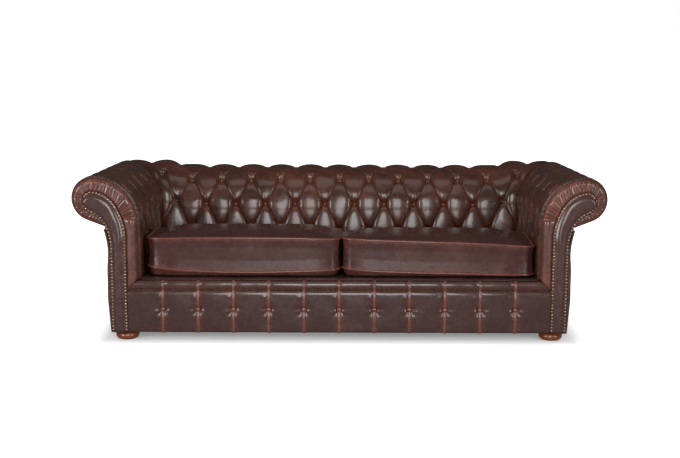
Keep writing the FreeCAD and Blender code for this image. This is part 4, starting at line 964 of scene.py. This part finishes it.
def scroll_border():
    """The border round the right facing: smooth below its seam, gathered in radial folds above."""
    random = np.random.default_rng(SEED + 5)
    pairs = []
    ruched = []
    for number, ((edge, inner), steps) in enumerate(zip(border_lines(), BORDER_STEPS)):
        first = resample(edge, steps)
        last = resample(inner, steps)
        start = 1 if pairs else 0
        pairs += list(zip(first, last))[start:]
        ruched += [number > 1] * (steps - start)
    middle = np.array([(first + last) / 2 for first, last in pairs])
    walked = np.concatenate([[0], np.cumsum(np.hypot(*np.diff(middle, axis=0).T))])
    seam_at = walked[ruched.index(True)]
    folds = [seam_at + 0.012]
    while folds[-1] < walked[-1]:
        folds.append(folds[-1] + random.uniform(*FOLD_GAPS))
    slants = random.uniform(-FOLD_SLANT, FOLD_SLANT, len(folds))
    heights = random.uniform(0.6, 1.15, len(folds))
    grid = []
    masks = []
    for (first, last), at, gathered in zip(pairs, walked, ruched):
        width = np.hypot(*(last - first))
        rounding = BORDER_ROUNDING * (1 - np.cos(np.linspace(0, 90, 8) * math.pi / 180))
        reach = np.concatenate([np.zeros(2), rounding,
                                np.linspace(BORDER_ROUNDING, width + 0.003, 9)[1:]])
        lift = np.clip(1 - (1 - np.clip(reach / BORDER_ROUNDING, 0, 1)) ** 2, 0, 1) ** 0.5
        front = BORDER_FACE + BORDER_ROUNDING
        across = front - BORDER_ROUNDING * lift
        across[0], across[1] = BORDER_BACK, (BORDER_BACK + front) / 2
        tuck = np.clip((reach - width + 0.008) / 0.011, 0, 1)
        across = across + 0.006 * tuck ** 2
        share = np.clip(reach / width, 0, 1)
        raised = np.zeros(len(reach))
        if gathered:
            for fold, slant, tall in zip(folds, slants, heights):
                away = at - fold - slant * (share - 0.5)
                if np.abs(away).min() > 0.03:
                    continue
                ridge = np.exp(-(away / FOLD_WIDTH) ** 2)
                sides = np.exp(-((np.abs(away) - 0.0062) / 0.0032) ** 2)
                raised += tall * (0.9 * ridge - 0.75 * sides)
            raised *= 0.35 + 0.65 * np.sin(np.clip(share, 0.05, 0.95) * math.pi) ** 0.5
        seam = math.exp(-((at - seam_at) / 0.003) ** 2)
        smooth = 0.0 if gathered else 1.0
        roll = smooth * 0.0055 * np.sin(share * math.pi) ** 2
        push = RUCHE_DEPTH * raised - 0.003 * seam + roll
        spot = first + (last - first) * (reach / width)[:, None]
        outward = (first - last) / width
        side_push = np.clip(1 - lift, 0, 1) * push
        run = spot[:, 0] + outward[0] * side_push
        height = spot[:, 1] + outward[1] * side_push
        grid.append(np.stack([run, across - lift * push, height], axis=-1))
        red = 0.25 + 0.6 * np.clip(raised, 0, 1) + 0.7 * seam + 0.12 * waves(spot[:, 0], spot[:, 1], 0.08, 3)
        masks.append(np.clip(red, 0, 1))
    grid = np.array(grid)
    back_grid = grid.copy()
    back_grid[:, :, 1] = BORDER_BACK + 0.0005
    piece = shell("right_scroll_ruche", grid, back_grid, False, np.array(masks))
    weld(piece)
    return piece


right_facing = scroll_facing()
left_facing = mirrored(right_facing, "left_scroll_panel")
for piece, side in ((right_facing, "right"), (left_facing, "left")):
    dress(piece, FACING_LEATHER, (side + "_scroll_facing",))

right_border = scroll_border()
left_border = mirrored(right_border, "left_scroll_ruche")
for piece, side in ((right_border, "right"), (left_border, "left")):
    dress(piece, TRIM_LEATHER, (side + "_scroll_border",))

# Metals, woods and cloths


def metal(name, bright, dark, polish, scale):
    """A metal finish with tarnish."""
    material, tree, shader = principled(name)
    values = {"Bright": bright + (1,), "Dark": dark + (1,), "Scale": scale, "Polish": polish}
    finish = placed(tree, TARNISH, values)
    join(tree, finish.outputs["Color"], shader.inputs["Base Color"])
    join(tree, finish.outputs["Roughness"], shader.inputs["Roughness"])
    shader.inputs["Metallic"].default_value = 1.0
    return material


def wood(name, light, dark, scale, roughness, coat):
    """A wood finish, oiled or polished."""
    material, tree, shader = principled(name)
    finish = placed(tree, GRAIN, {"Light": light + (1,), "Dark": dark + (1,), "Scale": scale})
    join(tree, finish.outputs["Color"], shader.inputs["Base Color"])
    raise_relief(tree, shader, finish.outputs["Height"], 0.15, 0.0006)
    shader.inputs["Roughness"].default_value = roughness
    shader.inputs["Coat Weight"].default_value = coat
    shader.inputs["Coat Roughness"].default_value = 0.1
    return material


def woven(name, light, dark, threads):
    """Plain-woven cloth with threads per metre."""
    material, tree, shader = principled(name)
    finish = placed(tree, WEAVE, {"Light": light + (1,), "Dark": dark + (1,), "Threads": threads})
    join(tree, finish.outputs["Color"], shader.inputs["Base Color"])
    raise_relief(tree, shader, finish.outputs["Height"], 0.6, 0.0008)
    shader.inputs["Roughness"].default_value = 0.9
    shader.inputs["Sheen Weight"].default_value = 0.2
    return material


BRASS = metal("antique_brass", (0.80, 0.54, 0.31), (0.24, 0.13, 0.065), 0.30, 160.0)
STEEL = metal("spring_steel", (0.42, 0.43, 0.45), (0.20, 0.19, 0.19), 0.35, 90.0)
ZINC = metal("zinc_steel", (0.66, 0.68, 0.70), (0.46, 0.47, 0.48), 0.30, 120.0)
FOOT_WOOD = wood("foot_wood", (0.19, 0.050, 0.014), (0.105, 0.025, 0.008), 5.0, 0.30, 0.6)
FRAME_WOOD = wood("frame_wood", (0.62, 0.43, 0.26), (0.45, 0.28, 0.15), 4.0, 0.6, 0.0)
HESSIAN = woven("hessian_cloth", (0.50, 0.38, 0.24), (0.20, 0.14, 0.08), 450)
WEBBING = woven("webbing_cloth", (0.55, 0.47, 0.35), (0.24, 0.19, 0.13), 700)
BLACK_CLOTH = woven("black_cloth", (0.030, 0.030, 0.032), (0.010, 0.010, 0.011), 900)

for side, sign in (("right", 1), ("left", -1)):
    spots = [(sign * run, FACE, height) for run, height in nail_places()]
    head = dome_shape("nail_head", NAIL_WIDTH, NAIL_HEIGHT, 3, 8)
    nails = set_out(side + "_nail_row", head, spots, [(0, -1, 0)] * len(spots), BRASS, 0.05, ANY_TURN)
    dress(nails, BRASS, (side + "_facing_nails",))

# Lip and pleated plinth

PLEATS = 11
PLEAT_PITCH = 0.1522
PLEAT_PLACES = (np.arange(PLEATS) - PLEATS // 2) * PLEAT_PITCH
PLINTH_END = 0.9127
PLEAT_WIDTH = 0.015
PLEAT_RISE = 0.002
FRONT_BUTTON_HEIGHT = 0.138
LIP_SLANT = 0.036
LIP_ROUNDING = 0.020
PANEL_BULGE = 0.0035
DIMPLE_DEPTH = 0.0100
DIMPLE_REACH = 0.016
WRINKLE_DEPTH = 0.0034


def front_columns():
    """Places across the front that crowd at the pleats."""
    edges = [-1.0] + [float(place / PLINTH_END) for place in PLEAT_PLACES] + [1.0]
    places = []
    for first, last in zip(edges[:-1], edges[1:]):
        steps = 0.5 - 0.5 * np.cos(np.pi * np.arange(18) / 18)
        places += list(first + (last - first) * steps)
    return np.array(places + [1.0])


FRONT_COLUMNS = front_columns()


def from_pleat(across):
    """Signed distance across the front to the nearest pleat."""
    nearest = PLEAT_PLACES[np.argmin(np.abs(across[:, None] - PLEAT_PLACES[None, :]), axis=1)]
    return across - nearest


def front_lip():
    """The padded lip under the cushions, mitred into the borders."""
    low, high = LIP[0].z, LIP[1].z
    front, rear = LIP[0].y, LIP[1].y
    tall = high - low
    section = [(rear, low)]
    for degrees in np.linspace(-90, 90, 17):
        angle = math.radians(degrees)
        bulge = math.copysign(abs(math.sin(angle)) ** 0.75, angle)
        section.append((front + LIP_ROUNDING * (1 - math.cos(angle) ** 0.8), low + tall / 2 * (1 + bulge)))
    section.append((rear, high))
    grid = []
    for place_y, height in section:
        end = LIP[1].x - LIP_SLANT * (height - low) / tall
        across = FRONT_COLUMNS * end
        pinch = np.exp(-(from_pleat(FRONT_COLUMNS * LIP[1].x) / 0.010) ** 2)
        sag = 0.0010 * waves(across, across * 0 + height, 0.13, SEED + 8)
        face = 0 if place_y >= front + 0.995 * LIP_ROUNDING else 1
        depth = place_y + face * (0.0016 * pinch + sag)
        grid.append(np.stack([across, depth, height + 0 * across], axis=-1))
    grid = np.array(grid)
    inner = grid[[0, -1]].copy()
    inner[:, :, 1] = rear + 0.0003
    masks = np.full(grid.shape[:2], 0.1)
    return shell("front_lip_pad", grid, inner, False, masks)


def front_plinth():
    """The front border under the lip, padded between its pleats and pulled in at each button."""
    low, high = PLINTH[0].z + 0.0025, LIP[0].z - 0.0004
    front, rear = BORDER_FACE, PLINTH[1].y
    heights = np.concatenate([[low], low + 0.004 * (1 - np.cos(np.linspace(0.3, 1.57, 4))),
                              np.linspace(low + 0.008, high - 0.018, 40),
                              high - 0.016 * (1 - np.sin(np.linspace(0.15, 1.57, 9)))])
    grid = []
    masks = []
    across = FRONT_COLUMNS * PLINTH_END
    offset = from_pleat(across)
    for height in heights:
        top = np.clip((height - (high - 0.018)) / 0.018, 0, 1)
        foot = np.clip(1 - (height - low) / 0.008, 0, 1)
        fold = 0.013 * (1 - math.sqrt(max(0, 1 - top * top))) + 0.004 * foot ** 2
        panel = np.clip(np.abs(offset) / (PLEAT_PITCH / 2), 0, 1)
        upright = math.sin(math.pi * (height - low) / (high - low)) ** 0.35
        bulge = PANEL_BULGE * (1 - (1 - panel) ** 3) * upright
        away = np.hypot(offset, height - FRONT_BUTTON_HEIGHT)
        dimple = DIMPLE_DEPTH * np.exp(-(away / DIMPLE_REACH) ** 2)
        angle = np.arctan2(height - FRONT_BUTTON_HEIGHT, offset)
        reach = np.exp(-((away - 0.019) / 0.012) ** 2)
        lower = np.clip(-np.sin(angle), 0, 1) * 1.1 + 0.15
        wrinkle = WRINKLE_DEPTH * reach * lower * np.cos(5 * (angle + math.pi / 2))
        near_fold = np.exp(-((height - (high - 0.030)) / 0.009) ** 2)
        tuck = -0.0030 * near_fold * np.exp(-((offset + 0.016) / 0.006) ** 2)
        uneven = 0.0011 * waves(across, across * 0 + height, 0.16, SEED + 9)
        place_y = front + fold - bulge + dimple - wrinkle + tuck - uneven + 0.0015
        grid.append(np.stack([across, place_y, height + 0 * across], axis=-1))
        red = 0.9 * np.exp(-(offset / 0.009) ** 2) + 0.45 * np.exp(-(away / 0.020) ** 2) + 0.25 * top
        masks.append(np.clip(red, 0, 1))
    grid = np.array(grid)
    inner = grid[[0, -1]].copy()
    inner[:, :, 1] = rear
    return shell("front_plinth_pad", grid, inner, False, np.array(masks))


def pleat_tab():
    """One narrow fold of leather from the top of the lip to the foot of the plinth."""
    path = [(-0.442, 0.2645), (-0.452, 0.2628), (-0.4610, 0.2580), (-0.4662, 0.2490), (-0.4668, 0.2360),
            (-0.4640, 0.2265), (-0.4600, 0.2215), (-0.4650, 0.2130), (-0.4680, 0.2030), (-0.4688, 0.180),
            (-0.4680, 0.160), (-0.4640, 0.1480), (-0.4630, 0.138), (-0.4640, 0.1280), (-0.4680, 0.116),
            (-0.4688, 0.090), (-0.4688, 0.060), (-0.4680, 0.040), (-0.4640, 0.0345)]
    points = []
    for place_y, height in path:
        wide = PLEAT_WIDTH / 2
        if 0.125 < height < 0.152:
            wide *= 0.75
        for side, lift in ((-1.0, 0.003), (-0.7, -PLEAT_RISE * 0.8), (0.0, -PLEAT_RISE),
                           (0.7, -PLEAT_RISE * 0.8), (1.0, 0.003)):
            points.append((side * wide, place_y + lift, height))
    faces = grid_faces(len(path), 5, 0, True)
    count = len(points)
    for place_y, height in path:
        points.append((-PLEAT_WIDTH / 2, place_y + 0.005, height))
        points.append((PLEAT_WIDTH / 2, place_y + 0.005, height))
    for row in range(len(path) - 1):
        a, b = row * 5, count + row * 2
        faces.append((a, a + 5, b + 2, b))
        faces.append((a + 4, b + 1, b + 3, a + 9))
        faces.append((b, b + 2, b + 3, b + 1))
    last = len(path) - 1
    faces.append((0, count, count + 1, 4, 3, 2, 1))
    faces.append(tuple(last * 5 + k for k in range(5)) + (count + 2 * last + 1, count + 2 * last))
    shape = add_mesh("pleat_tab", points, faces)
    work = bmesh.new()
    work.from_mesh(shape.data)
    bmesh.ops.recalc_face_normals(work, faces=work.faces)
    work.to_mesh(shape.data)
    work.free()
    return shape


dress(front_lip(), PLINTH_LEATHER, ("front_lip",))
dress(front_plinth(), PLINTH_LEATHER, ("front_border_pad",))

tabs = set_out("front_pleats", pleat_tab(), [(place, 0, 0) for place in PLEAT_PLACES],
               [(0, 0, 1)] * PLEATS, PIPING_LEATHER, 0.0, 0.0)
dress(tabs, PIPING_LEATHER)
front_set = set_out("front_button_set", dome_shape("button", BUTTON_WIDTH * 1.05, 0.006, 4, 12),
                    [(place, BORDER_FACE + 0.0005, FRONT_BUTTON_HEIGHT) for place in PLEAT_PLACES],
                    [(0, -1, 0)] * PLEATS, BUTTON_LEATHER, 0.03, ANY_TURN)
dress(front_set, BUTTON_LEATHER, ("front_buttons",))

# Seat cushions

# Height of the piping from left to right along the front, and how far it falls to the rear

UPPER_PIPING = {"left": ((0.435, 0.440, 0.441, 0.441, 0.440, 0.434), 0.050),
                "right": ((0.437, 0.432, 0.427, 0.423, 0.415, 0.403), 0.040)}
LOWER_PIPING = {"left": ((0.314, 0.298, 0.291, 0.291, 0.296, 0.302), 0.0),
                "right": ((0.307, 0.296, 0.291, 0.288, 0.284, 0.281), 0.0)}
PIPING_RADIUS = 0.0045
CUSHION_CORNER = 0.045
RING_POINTS = 260
CUSHION_BULGE = -0.0015
CUSHION_SWEEP = 0.022
CUSHION_CROWN = 0.024
CUSHION_CROWN_REACH = 0.22
CUSHION_REAR_GAP = 0.014
TOP_FROM = 0.36


def ring_of(low, high, corner, inset, count=12):
    """A rounded rectangle's points, drawn in by an inset."""
    corner = max(corner - inset, 0.004)
    x0, x1, y0, y1 = low[0] + inset, high[0] - inset, low[1] + inset, high[1] - inset
    points = []
    for cx, cy, turn in ((x1 - corner, y1 - corner, 0), (x0 + corner, y1 - corner, 90),
                         (x0 + corner, y0 + corner, 180), (x1 - corner, y0 + corner, 270)):
        for step in range(count):
            angle = math.radians(turn + 90 * step / (count - 1))
            points.append((cx + corner * math.cos(angle), cy + corner * math.sin(angle)))
    return points


def dense_ring(low, high, inset, spacing):
    """A rounded rectangle with evenly spaced points."""
    ring = ring_of(low, high, CUSHION_CORNER, inset)
    ring.append(ring[0])
    length = np.hypot(*np.diff(np.array(ring), axis=0).T).sum()
    return resample(ring, int(length / spacing))[:-1]


def piping_height(points, low, high, front_heights, fall):
    """Height of the piping, from left to right along the front, and how far it falls to the rear."""
    share = np.clip((points[:, 0] - low[0]) / (high[0] - low[0]), 0, 1)
    back = np.clip((points[:, 1] - low[1]) / (high[1] - low[1]), 0, 1)
    front = np.interp(share, np.linspace(0, 1, len(front_heights)), front_heights)
    middle = sum(front_heights) / len(front_heights)
    mixed = front + (middle - front) * ease((back - 0.1) / 0.5)
    return mixed - fall * ease((back - 0.45) / 0.55)


def sweep_back(points, low, high):
    """How far the front of a cushion stands back near its two ends."""
    share = np.abs(2 * (points[:, 0] - low[0]) / (high[0] - low[0]) - 1)
    near = np.clip(1 - (points[:, 1] - low[1]) / 0.2, 0, 1)
    return CUSHION_SWEEP * near * np.clip((share - 0.66) / 0.34, 0, 1) ** 2


def blown_up(piece, places, sewn):
    """Where cloth under pressure carries the points, held where they are sewn and never far."""
    group = piece.vertex_groups.new(name="sewn")
    group.add([int(index) for index in np.nonzero(sewn)[0]], 1.0, "REPLACE")
    cloth = piece.modifiers.new("swell", "CLOTH")
    cloth.settings.use_pressure = True
    cloth.settings.uniform_pressure_force = 4.0
    cloth.settings.effector_weights.gravity = 0.0
    cloth.settings.vertex_group_mass = "sewn"
    cloth.settings.quality = 4
    cloth.settings.tension_stiffness = 12
    cloth.settings.compression_stiffness = 12
    cloth.point_cache.frame_start = 1
    cloth.point_cache.frame_end = SIM_FRAMES
    scene = bpy.context.scene
    for step in range(1, SIM_FRAMES + 1):
        scene.frame_set(step)
    depsgraph = bpy.context.evaluated_depsgraph_get()
    move = points_of(piece.evaluated_get(depsgraph).to_mesh()) - places
    piece.modifiers.remove(cloth)
    piece.vertex_groups.clear()
    scene.frame_set(1)
    far = np.linalg.norm(move, axis=1)
    move *= (SWELL_LIMIT * np.tanh(far / SWELL_LIMIT) / np.maximum(far, 1e-9))[:, None]
    return places + move


def cushion_pad(name, low, high, piping, foot_piping):
    """A seat cushion: blown up as cloth between its two lines of piping."""
    points = []
    levels = [(None, 0, 0.030), (None, 0.006, 0.012), (foot_piping, 0.0, 0.0), (foot_piping, 0.05, 0.003),
              (piping, -0.04, 0.003), (piping, 0.0, 0.0), (piping, 0.008, 0.020), (piping, 0.008, 0.06),
              (piping, 0.008, 0.12), (piping, 0.008, 0.20)]
    for line, above, inset in levels:
        corners = ring_of(low, high, CUSHION_CORNER, inset + 0.004)
        ring = resample(np.array(corners + corners[:1]), RING_POINTS + 1)[:-1]
        level = np.full(len(ring), low[2] + above)
        if line is not None:
            level = piping_height(ring, low, high, *line) + above
        points += [(x, y, z) for (x, y), z in zip(ring, level)]
    count = len(ring)
    faces = ring_faces(len(levels), count)
    faces.append(tuple(reversed(range(count))))
    faces.append(tuple(range((len(levels) - 1) * count, len(levels) * count)))
    piece = add_mesh(name, points, faces)
    bpy.context.view_layer.objects.active = piece
    piece.data.remesh_voxel_size = VOXEL
    with bpy.context.temp_override(object=piece, active_object=piece, selected_objects=[piece]):
        bpy.ops.object.voxel_remesh()
    mesh = piece.data
    places = points_of(mesh)
    side = np.minimum(places[:, :2] - low[:2], high[:2] - places[:, :2]).min(axis=1)
    lower_line = piping_height(places, low, high, *foot_piping)
    upper_line = piping_height(places, low, high, *piping)
    crowned = upper_line + CUSHION_CROWN * (1 - (1 - np.clip(side / CUSHION_CROWN_REACH, 0, 1)) ** 2.4)
    on_top = (places[:, 2] > upper_line + 0.001) | ((side > 0.012) & (places[:, 2] > TOP_FROM))
    places[:, 2] = np.where(on_top, crowned, places[:, 2])
    move_points(mesh, places)
    from_line = np.minimum(np.abs(places[:, 2] - upper_line), np.abs(places[:, 2] - lower_line))
    on_piping = (side < 0.02) & (from_line < 0.005)
    places = blown_up(piece, places, on_piping)
    floor_line = low[2] + 0.0005
    places[:, 2] = np.maximum(places[:, 2], floor_line)
    places[:, 2] = np.where(places[:, 2] > high[2], high[2] + 0.2 * (places[:, 2] - high[2]), places[:, 2])
    places[:, 0] = np.clip(places[:, 0], low[0], high[0])
    places[:, 1] = np.clip(places[:, 1], low[1] - CUSHION_BULGE, high[1])
    places[:, 1] += sweep_back(places, low, high)
    move_points(mesh, places)
    mesh.polygons.foreach_set("use_smooth", [True] * len(mesh.polygons))
    from_line = np.minimum(np.abs(places[:, 2] - upper_line), np.abs(places[:, 2] - lower_line))
    rub = np.exp(-(from_line / 0.012) ** 2) * np.clip(1 - side / 0.03, 0, 1)
    set_wear(piece, 0.8 * rub)
    finer = piece.modifiers.new("finer", "SUBSURF")
    finer.levels = finer.render_levels = 1
    return piece


def rod(name, path, radius, sides, closed):
    """A round cord or wire along a path of points, joined to itself or cut flat at its ends."""
    ahead = np.roll(path, -1, axis=0) - np.roll(path, 1, axis=0) if closed else np.gradient(path, axis=0)
    ahead /= np.linalg.norm(ahead, axis=1)[:, None]
    out = np.cross(ahead, (0.0, 0.0, 1.0))
    out /= np.linalg.norm(out, axis=1)[:, None]
    over = np.cross(out, ahead)
    angles = 2 * np.pi * np.arange(sides) / sides
    rings = path[:, None, :] + radius * (np.cos(angles)[None, :, None] * out[:, None, :]
                                         + np.sin(angles)[None, :, None] * over[:, None, :])
    count = len(path)
    faces = []
    for row in range(count if closed else count - 1):
        next_row = (row + 1) % count
        for side in range(sides):
            next_side = (side + 1) % sides
            faces.append((row * sides + side, next_row * sides + side,
                          next_row * sides + next_side, row * sides + next_side))
    if not closed:
        faces.append(tuple(range(sides)))
        faces.append(tuple(reversed(range((count - 1) * sides, count * sides))))
    return add_mesh(name, rings.reshape(-1, 3), faces)


for side in ("left", "right"):
    piping, foot_piping = UPPER_PIPING[side], LOWER_PIPING[side]
    lo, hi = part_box(side + "_seat_cushion")
    low, high = tuple(lo), (hi.x, hi.y - CUSHION_REAR_GAP, hi.z)
    pad = cushion_pad(side + "_cushion_pad", low, high, piping, foot_piping)
    body = side + "_cushion"
    dress(pad, CUSHION_LEATHER, (side + "_seat_cushion",), body)
    ring = dense_ring(low, high, PIPING_RADIUS - 0.001, 0.012)
    swept = ring.copy()
    swept[:, 1] += sweep_back(ring, low, high)
    upper = np.column_stack([swept, piping_height(ring, low, high, *piping)])
    lower = np.column_stack([swept, piping_height(ring, low, high, *foot_piping)])
    for name, path in (("upper", upper), ("lower", lower)):
        cord = rod(side + "_cushion_" + name + "_piping", path, PIPING_RADIUS, 8, True)
        dress(cord, PIPING_LEATHER, body=body)

# Deck, hessian, dust cover, springs and outside panels

SHEET_THICKNESS = 0.0011


def slab(name, low, high, rows, columns, crown, rounding, seed):
    """A flat pad whose top swells a little and whose edges are rounded."""
    grid = []
    for row in range(rows + 1):
        share = row / rows
        line = np.linspace(0, 1, columns + 1)
        edge = np.minimum(np.minimum(share, 1 - share) * (high[1] - low[1]),
                          np.minimum(line, 1 - line) * (high[0] - low[0]))
        inside = np.clip(edge / max(rounding, 1e-6), 0, 1)
        fall = rounding * (1 - np.sqrt(np.clip(1 - (1 - inside) ** 2, 0, 1)))
        across = low[0] + line * (high[0] - low[0])
        deep = np.full(len(line), low[1] + share * (high[1] - low[1]))
        swell = crown * waves(across, deep, 0.25, seed) * np.clip(edge / 0.02, 0, 1)
        grid.append(np.stack([across, deep, high[2] - crown - fall + swell], axis=-1))
    grid = np.array(grid)
    base = grid.copy()
    base[:, :, 2] = low[2]
    return shell(name, grid, base, False, np.zeros(grid.shape[:2]))


deck = slab("seat_deck", tuple(DECK[0]), tuple(DECK[1]), 30, 60, 0.0008, min(0.01, DECK[1].z - DECK[0].z), 3)
dress(deck, PLINTH_LEATHER, ("seat_platform",))

for node, slot, material, rests in (
        ("seat_hessian", "hessian_cloth", HESSIAN, ["seat_springs"]),
        ("dust_cover", "black_cloth", BLACK_CLOTH, ["front_rail"])):
    low, high = (tuple(corner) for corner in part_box(node))
    foot = (low[0], low[1], high[2] - SHEET_THICKNESS)
    cloth_sheet = slab(node + "_sheet", foot, high, 24, 48, 0.0001, 0.0, 5)
    dress(cloth_sheet, material, (node,))

PANEL_FOOT = 0.036
PANEL_HEIGHT = 0.450
OUTER_PANEL = np.concatenate([
    arc((0.986, PANEL_FOOT), (0.992, 0.096), (0.993, 0.359), 24),
    arc((0.993, 0.359), (0.997, 0.434), (1.008, 0.486), 10)[1:]])
INNER_PANEL = np.concatenate([
    [(0.9823, PANEL_FOOT)], arc((0.9823, 0.400), (0.9909, 0.444), (1.000, 0.486), 10)])


def outside_panel(name, to_space, start, seed):
    """Leather stretched over the outside of an arm, or of the back if start is None."""
    grids = []
    for line, loose in ((OUTER_PANEL, 0.0016), (INNER_PANEL, 0.0)):
        grid = []
        for run, height in line:
            along = np.linspace(-run if start is None else start, run, 90 if start is None else 60)
            middle = math.sin(math.pi * np.clip((height - PANEL_FOOT) / PANEL_HEIGHT, 0, 1)) ** 0.5
            ripple = loose * waves(along * 0.6, along * 0 + 1.6 * height, 0.35, seed) * middle
            grid.append(to_space(run + ripple, along, height + 0 * along))
        grids.append(np.array(grid))
    return shell(name, grids[0], grids[1], start is None, np.full(grids[0].shape[:2], 0.05))


PANEL_START = BORDER_FACE + RUN_SHIFT
back_panel = outside_panel("outside_back_leather", back_space, None, SEED + 20)
right_panel = outside_panel("right_outside_arm_leather", arm_space, PANEL_START, SEED + 21)
left_panel = mirrored(right_panel, "left_outside_arm_leather")
for piece, node in ((back_panel, "outside_back_panel"), (right_panel, "right_outside_arm_panel"),
                    (left_panel, "left_outside_arm_panel")):
    dress(piece, FACING_LEATHER, (node,))

SPRINGS = 9
SPRING_WIRE = 0.004
SPRING_WIDTH = 0.050
SPRING_TURN = 0.030


def spring_shape(low, high):
    """One serpentine spring from the front rail to the rear rail, arched in the middle."""
    length = high.y - low.y - SPRING_WIRE
    turns = int(length / SPRING_TURN)
    count = turns * 6
    path = []
    for step in range(count + 1):
        share = step / count
        sway = math.cos(share * turns * math.pi)
        side = math.copysign(abs(sway) ** 0.5, sway) * (SPRING_WIDTH - SPRING_WIRE) / 2
        arch = (high.z - low.z - SPRING_WIRE) * math.sin(math.pi * share)
        path.append((side, low.y + SPRING_WIRE / 2 + share * length, low.z + SPRING_WIRE / 2 + arch))
    return rod("seat_spring", np.array(path), SPRING_WIRE / 2, 6, False)


spring_low, spring_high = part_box("seat_springs")
first_spring = spring_low.x + SPRING_WIDTH / 2
spring_step = (spring_high.x - spring_low.x - SPRING_WIDTH) / (SPRINGS - 1)
springs = set_out("seat_spring_set", spring_shape(spring_low, spring_high),
                  [(first_spring + number * spring_step, 0, 0) for number in range(SPRINGS)],
                  [(0, 0, 1)] * SPRINGS, STEEL, 0.0, 0.0)
dress(springs, STEEL, ("seat_springs",))



def carried_over_finish(name):
    """The finish of a node that stays as the frame has it."""
    for word, material in (("webbing", WEBBING), ("bolts", ZINC), ("t_nut", ZINC), ("spring", STEEL),
                           ("_foot", FOOT_WOOD)):
        if word in name:
            return material
    return FRAME_WOOD


for name, node in NODES.items():
    if not node.hide_render:
        give(node, carried_over_finish(name))


# Camera, light and floor

PHOTO_WIDTH = 680
FOCAL_PIXELS = 1073.0
CAMERA_PLACE = (0.0026, -4.995, 1.188)
CAMERA_PITCH = math.atan(165.0 / FOCAL_PIXELS)
CAMERA_ROLL = math.radians(0.2)
WORLD_STRENGTH = 0.58
WORLD_GLOSS_STRENGTH = 0.05
FLOOR_REACH = 9.0
FLOOR_TONE = (0.86, 0.86, 0.86, 1)
FLOOR_GLOSS_TONE = (0.12, 0.12, 0.12, 1)
# A box round the sofa's footprint where the floor's glow is weak, which paints shade there, and how the glow
# rises to white past it
SHADOW_HALF_SIZES = {"X": 0.87 * HALF_WIDTH, "Y": HALF_DEPTH}
SHADOW_FADE = (0.01, 0.14)
SHADOW_LIFT = (0.22, 1.0)


def add_camera():
    """A camera where the photographer's stood."""
    data = bpy.data.cameras.new("camera")
    data.sensor_width = 36.0
    data.lens = FOCAL_PIXELS / PHOTO_WIDTH * data.sensor_width
    camera = bpy.data.objects.new("camera", data)
    camera.location = CAMERA_PLACE
    camera.rotation_euler = (math.pi / 2 - CAMERA_PITCH, 0, 0)
    bpy.context.scene.collection.objects.link(camera)
    bpy.context.view_layer.update()
    camera.rotation_euler.rotate_axis("Z", CAMERA_ROLL)
    bpy.context.scene.camera = camera


def add_lamp(name, place, target, size, power):
    """A soft box that faces a point."""
    data = bpy.data.lights.new(name, "AREA")
    data.shape = "RECTANGLE"
    data.size, data.size_y = size
    data.energy = power
    lamp = bpy.data.objects.new(name, data)
    lamp.location = place
    direction = Vector(target) - Vector(place)
    lamp.rotation_euler = direction.to_track_quat("-Z", "Y").to_euler()
    bpy.context.scene.collection.objects.link(lamp)


def add_world():
    """Plain light from all round, white to the camera."""
    world = bpy.data.worlds.new("studio")
    bpy.context.scene.world = world
    world.use_nodes = True
    tree = world.node_tree
    plain = tree.nodes["Background"]
    plain.inputs["Color"].default_value = (1, 1, 1, 1)
    path = new_node(tree, "ShaderNodeLightPath")
    strength = remap(tree, path.outputs["Is Glossy Ray"], 0, 1, WORLD_STRENGTH, WORLD_GLOSS_STRENGTH)
    join(tree, strength, plain.inputs["Strength"])
    white = new_node(tree, "ShaderNodeBackground", {"Color": (1, 1, 1, 1)})
    both = new_node(tree, "ShaderNodeMixShader", {"Fac": path.outputs["Is Camera Ray"]})
    join(tree, plain.outputs["Background"], both.inputs[1])
    join(tree, white.outputs["Background"], both.inputs[2])
    join(tree, both.outputs["Shader"], tree.nodes["World Output"].inputs["Surface"])


def add_floor():
    """A pale floor that goes white to the camera, with painted shade round the sofa where its glow is weak.
    """
    corners = [(x * FLOOR_REACH, y * FLOOR_REACH, 0) for x, y in ((-1, -1), (1, -1), (1, 1), (-1, 1))]
    floor = add_mesh("floor", corners, [(0, 1, 2, 3)])
    material, tree, shader = principled("pale_floor")
    shader.inputs["Roughness"].default_value = 0.8
    shader.inputs["Emission Color"].default_value = (1, 1, 1, 1)
    path = new_node(tree, "ShaderNodeLightPath")
    pale = blend(tree, path.outputs["Is Glossy Ray"], FLOOR_TONE, FLOOR_GLOSS_TONE)
    join(tree, pale, shader.inputs["Base Color"])
    parts = new_node(tree, "ShaderNodeSeparateXYZ", {"Vector": object_place(tree)})
    # The glow is weak over a box round the sofa's footprint and rises to white past it. The grey there is
    # partly this painted shade and partly the lamps' own shadow.
    clear = []
    for axis, half in SHADOW_HALF_SIZES.items():
        outside = math_node(tree, "SUBTRACT", math_node(tree, "ABSOLUTE", parts.outputs[axis]), half)
        clear.append(math_node(tree, "POWER", math_node(tree, "MAXIMUM", outside, 0.0), 2.0))
    distance = math_node(tree, "SQRT", math_node(tree, "ADD", clear[0], clear[1]))
    bright = remap(tree, distance, *SHADOW_FADE, *SHADOW_LIFT)
    lift = math_node(tree, "MULTIPLY", path.outputs["Is Camera Ray"], bright)
    join(tree, lift, shader.inputs["Emission Strength"])
    give(floor, material)


add_camera()
add_world()
add_floor()
add_lamp("key", (0.0, -5.3, 1.6), (0, 0, 0.5), (2.0, 2.8), 112)
add_lamp("overhead", (0.0, -1.0, 3.4), (0, 0, 0.4), (3.0, 1.5), 12)
add_lamp("left_side", (-3.8, -3.8, 1.2), (0, 0, 0.4), (1.1, 2.3), 85)
add_lamp("right_side", (3.8, -3.8, 1.2), (0, 0, 0.4), (1.1, 2.3), 60)

bpy.context.scene.view_settings.view_transform = "Standard"
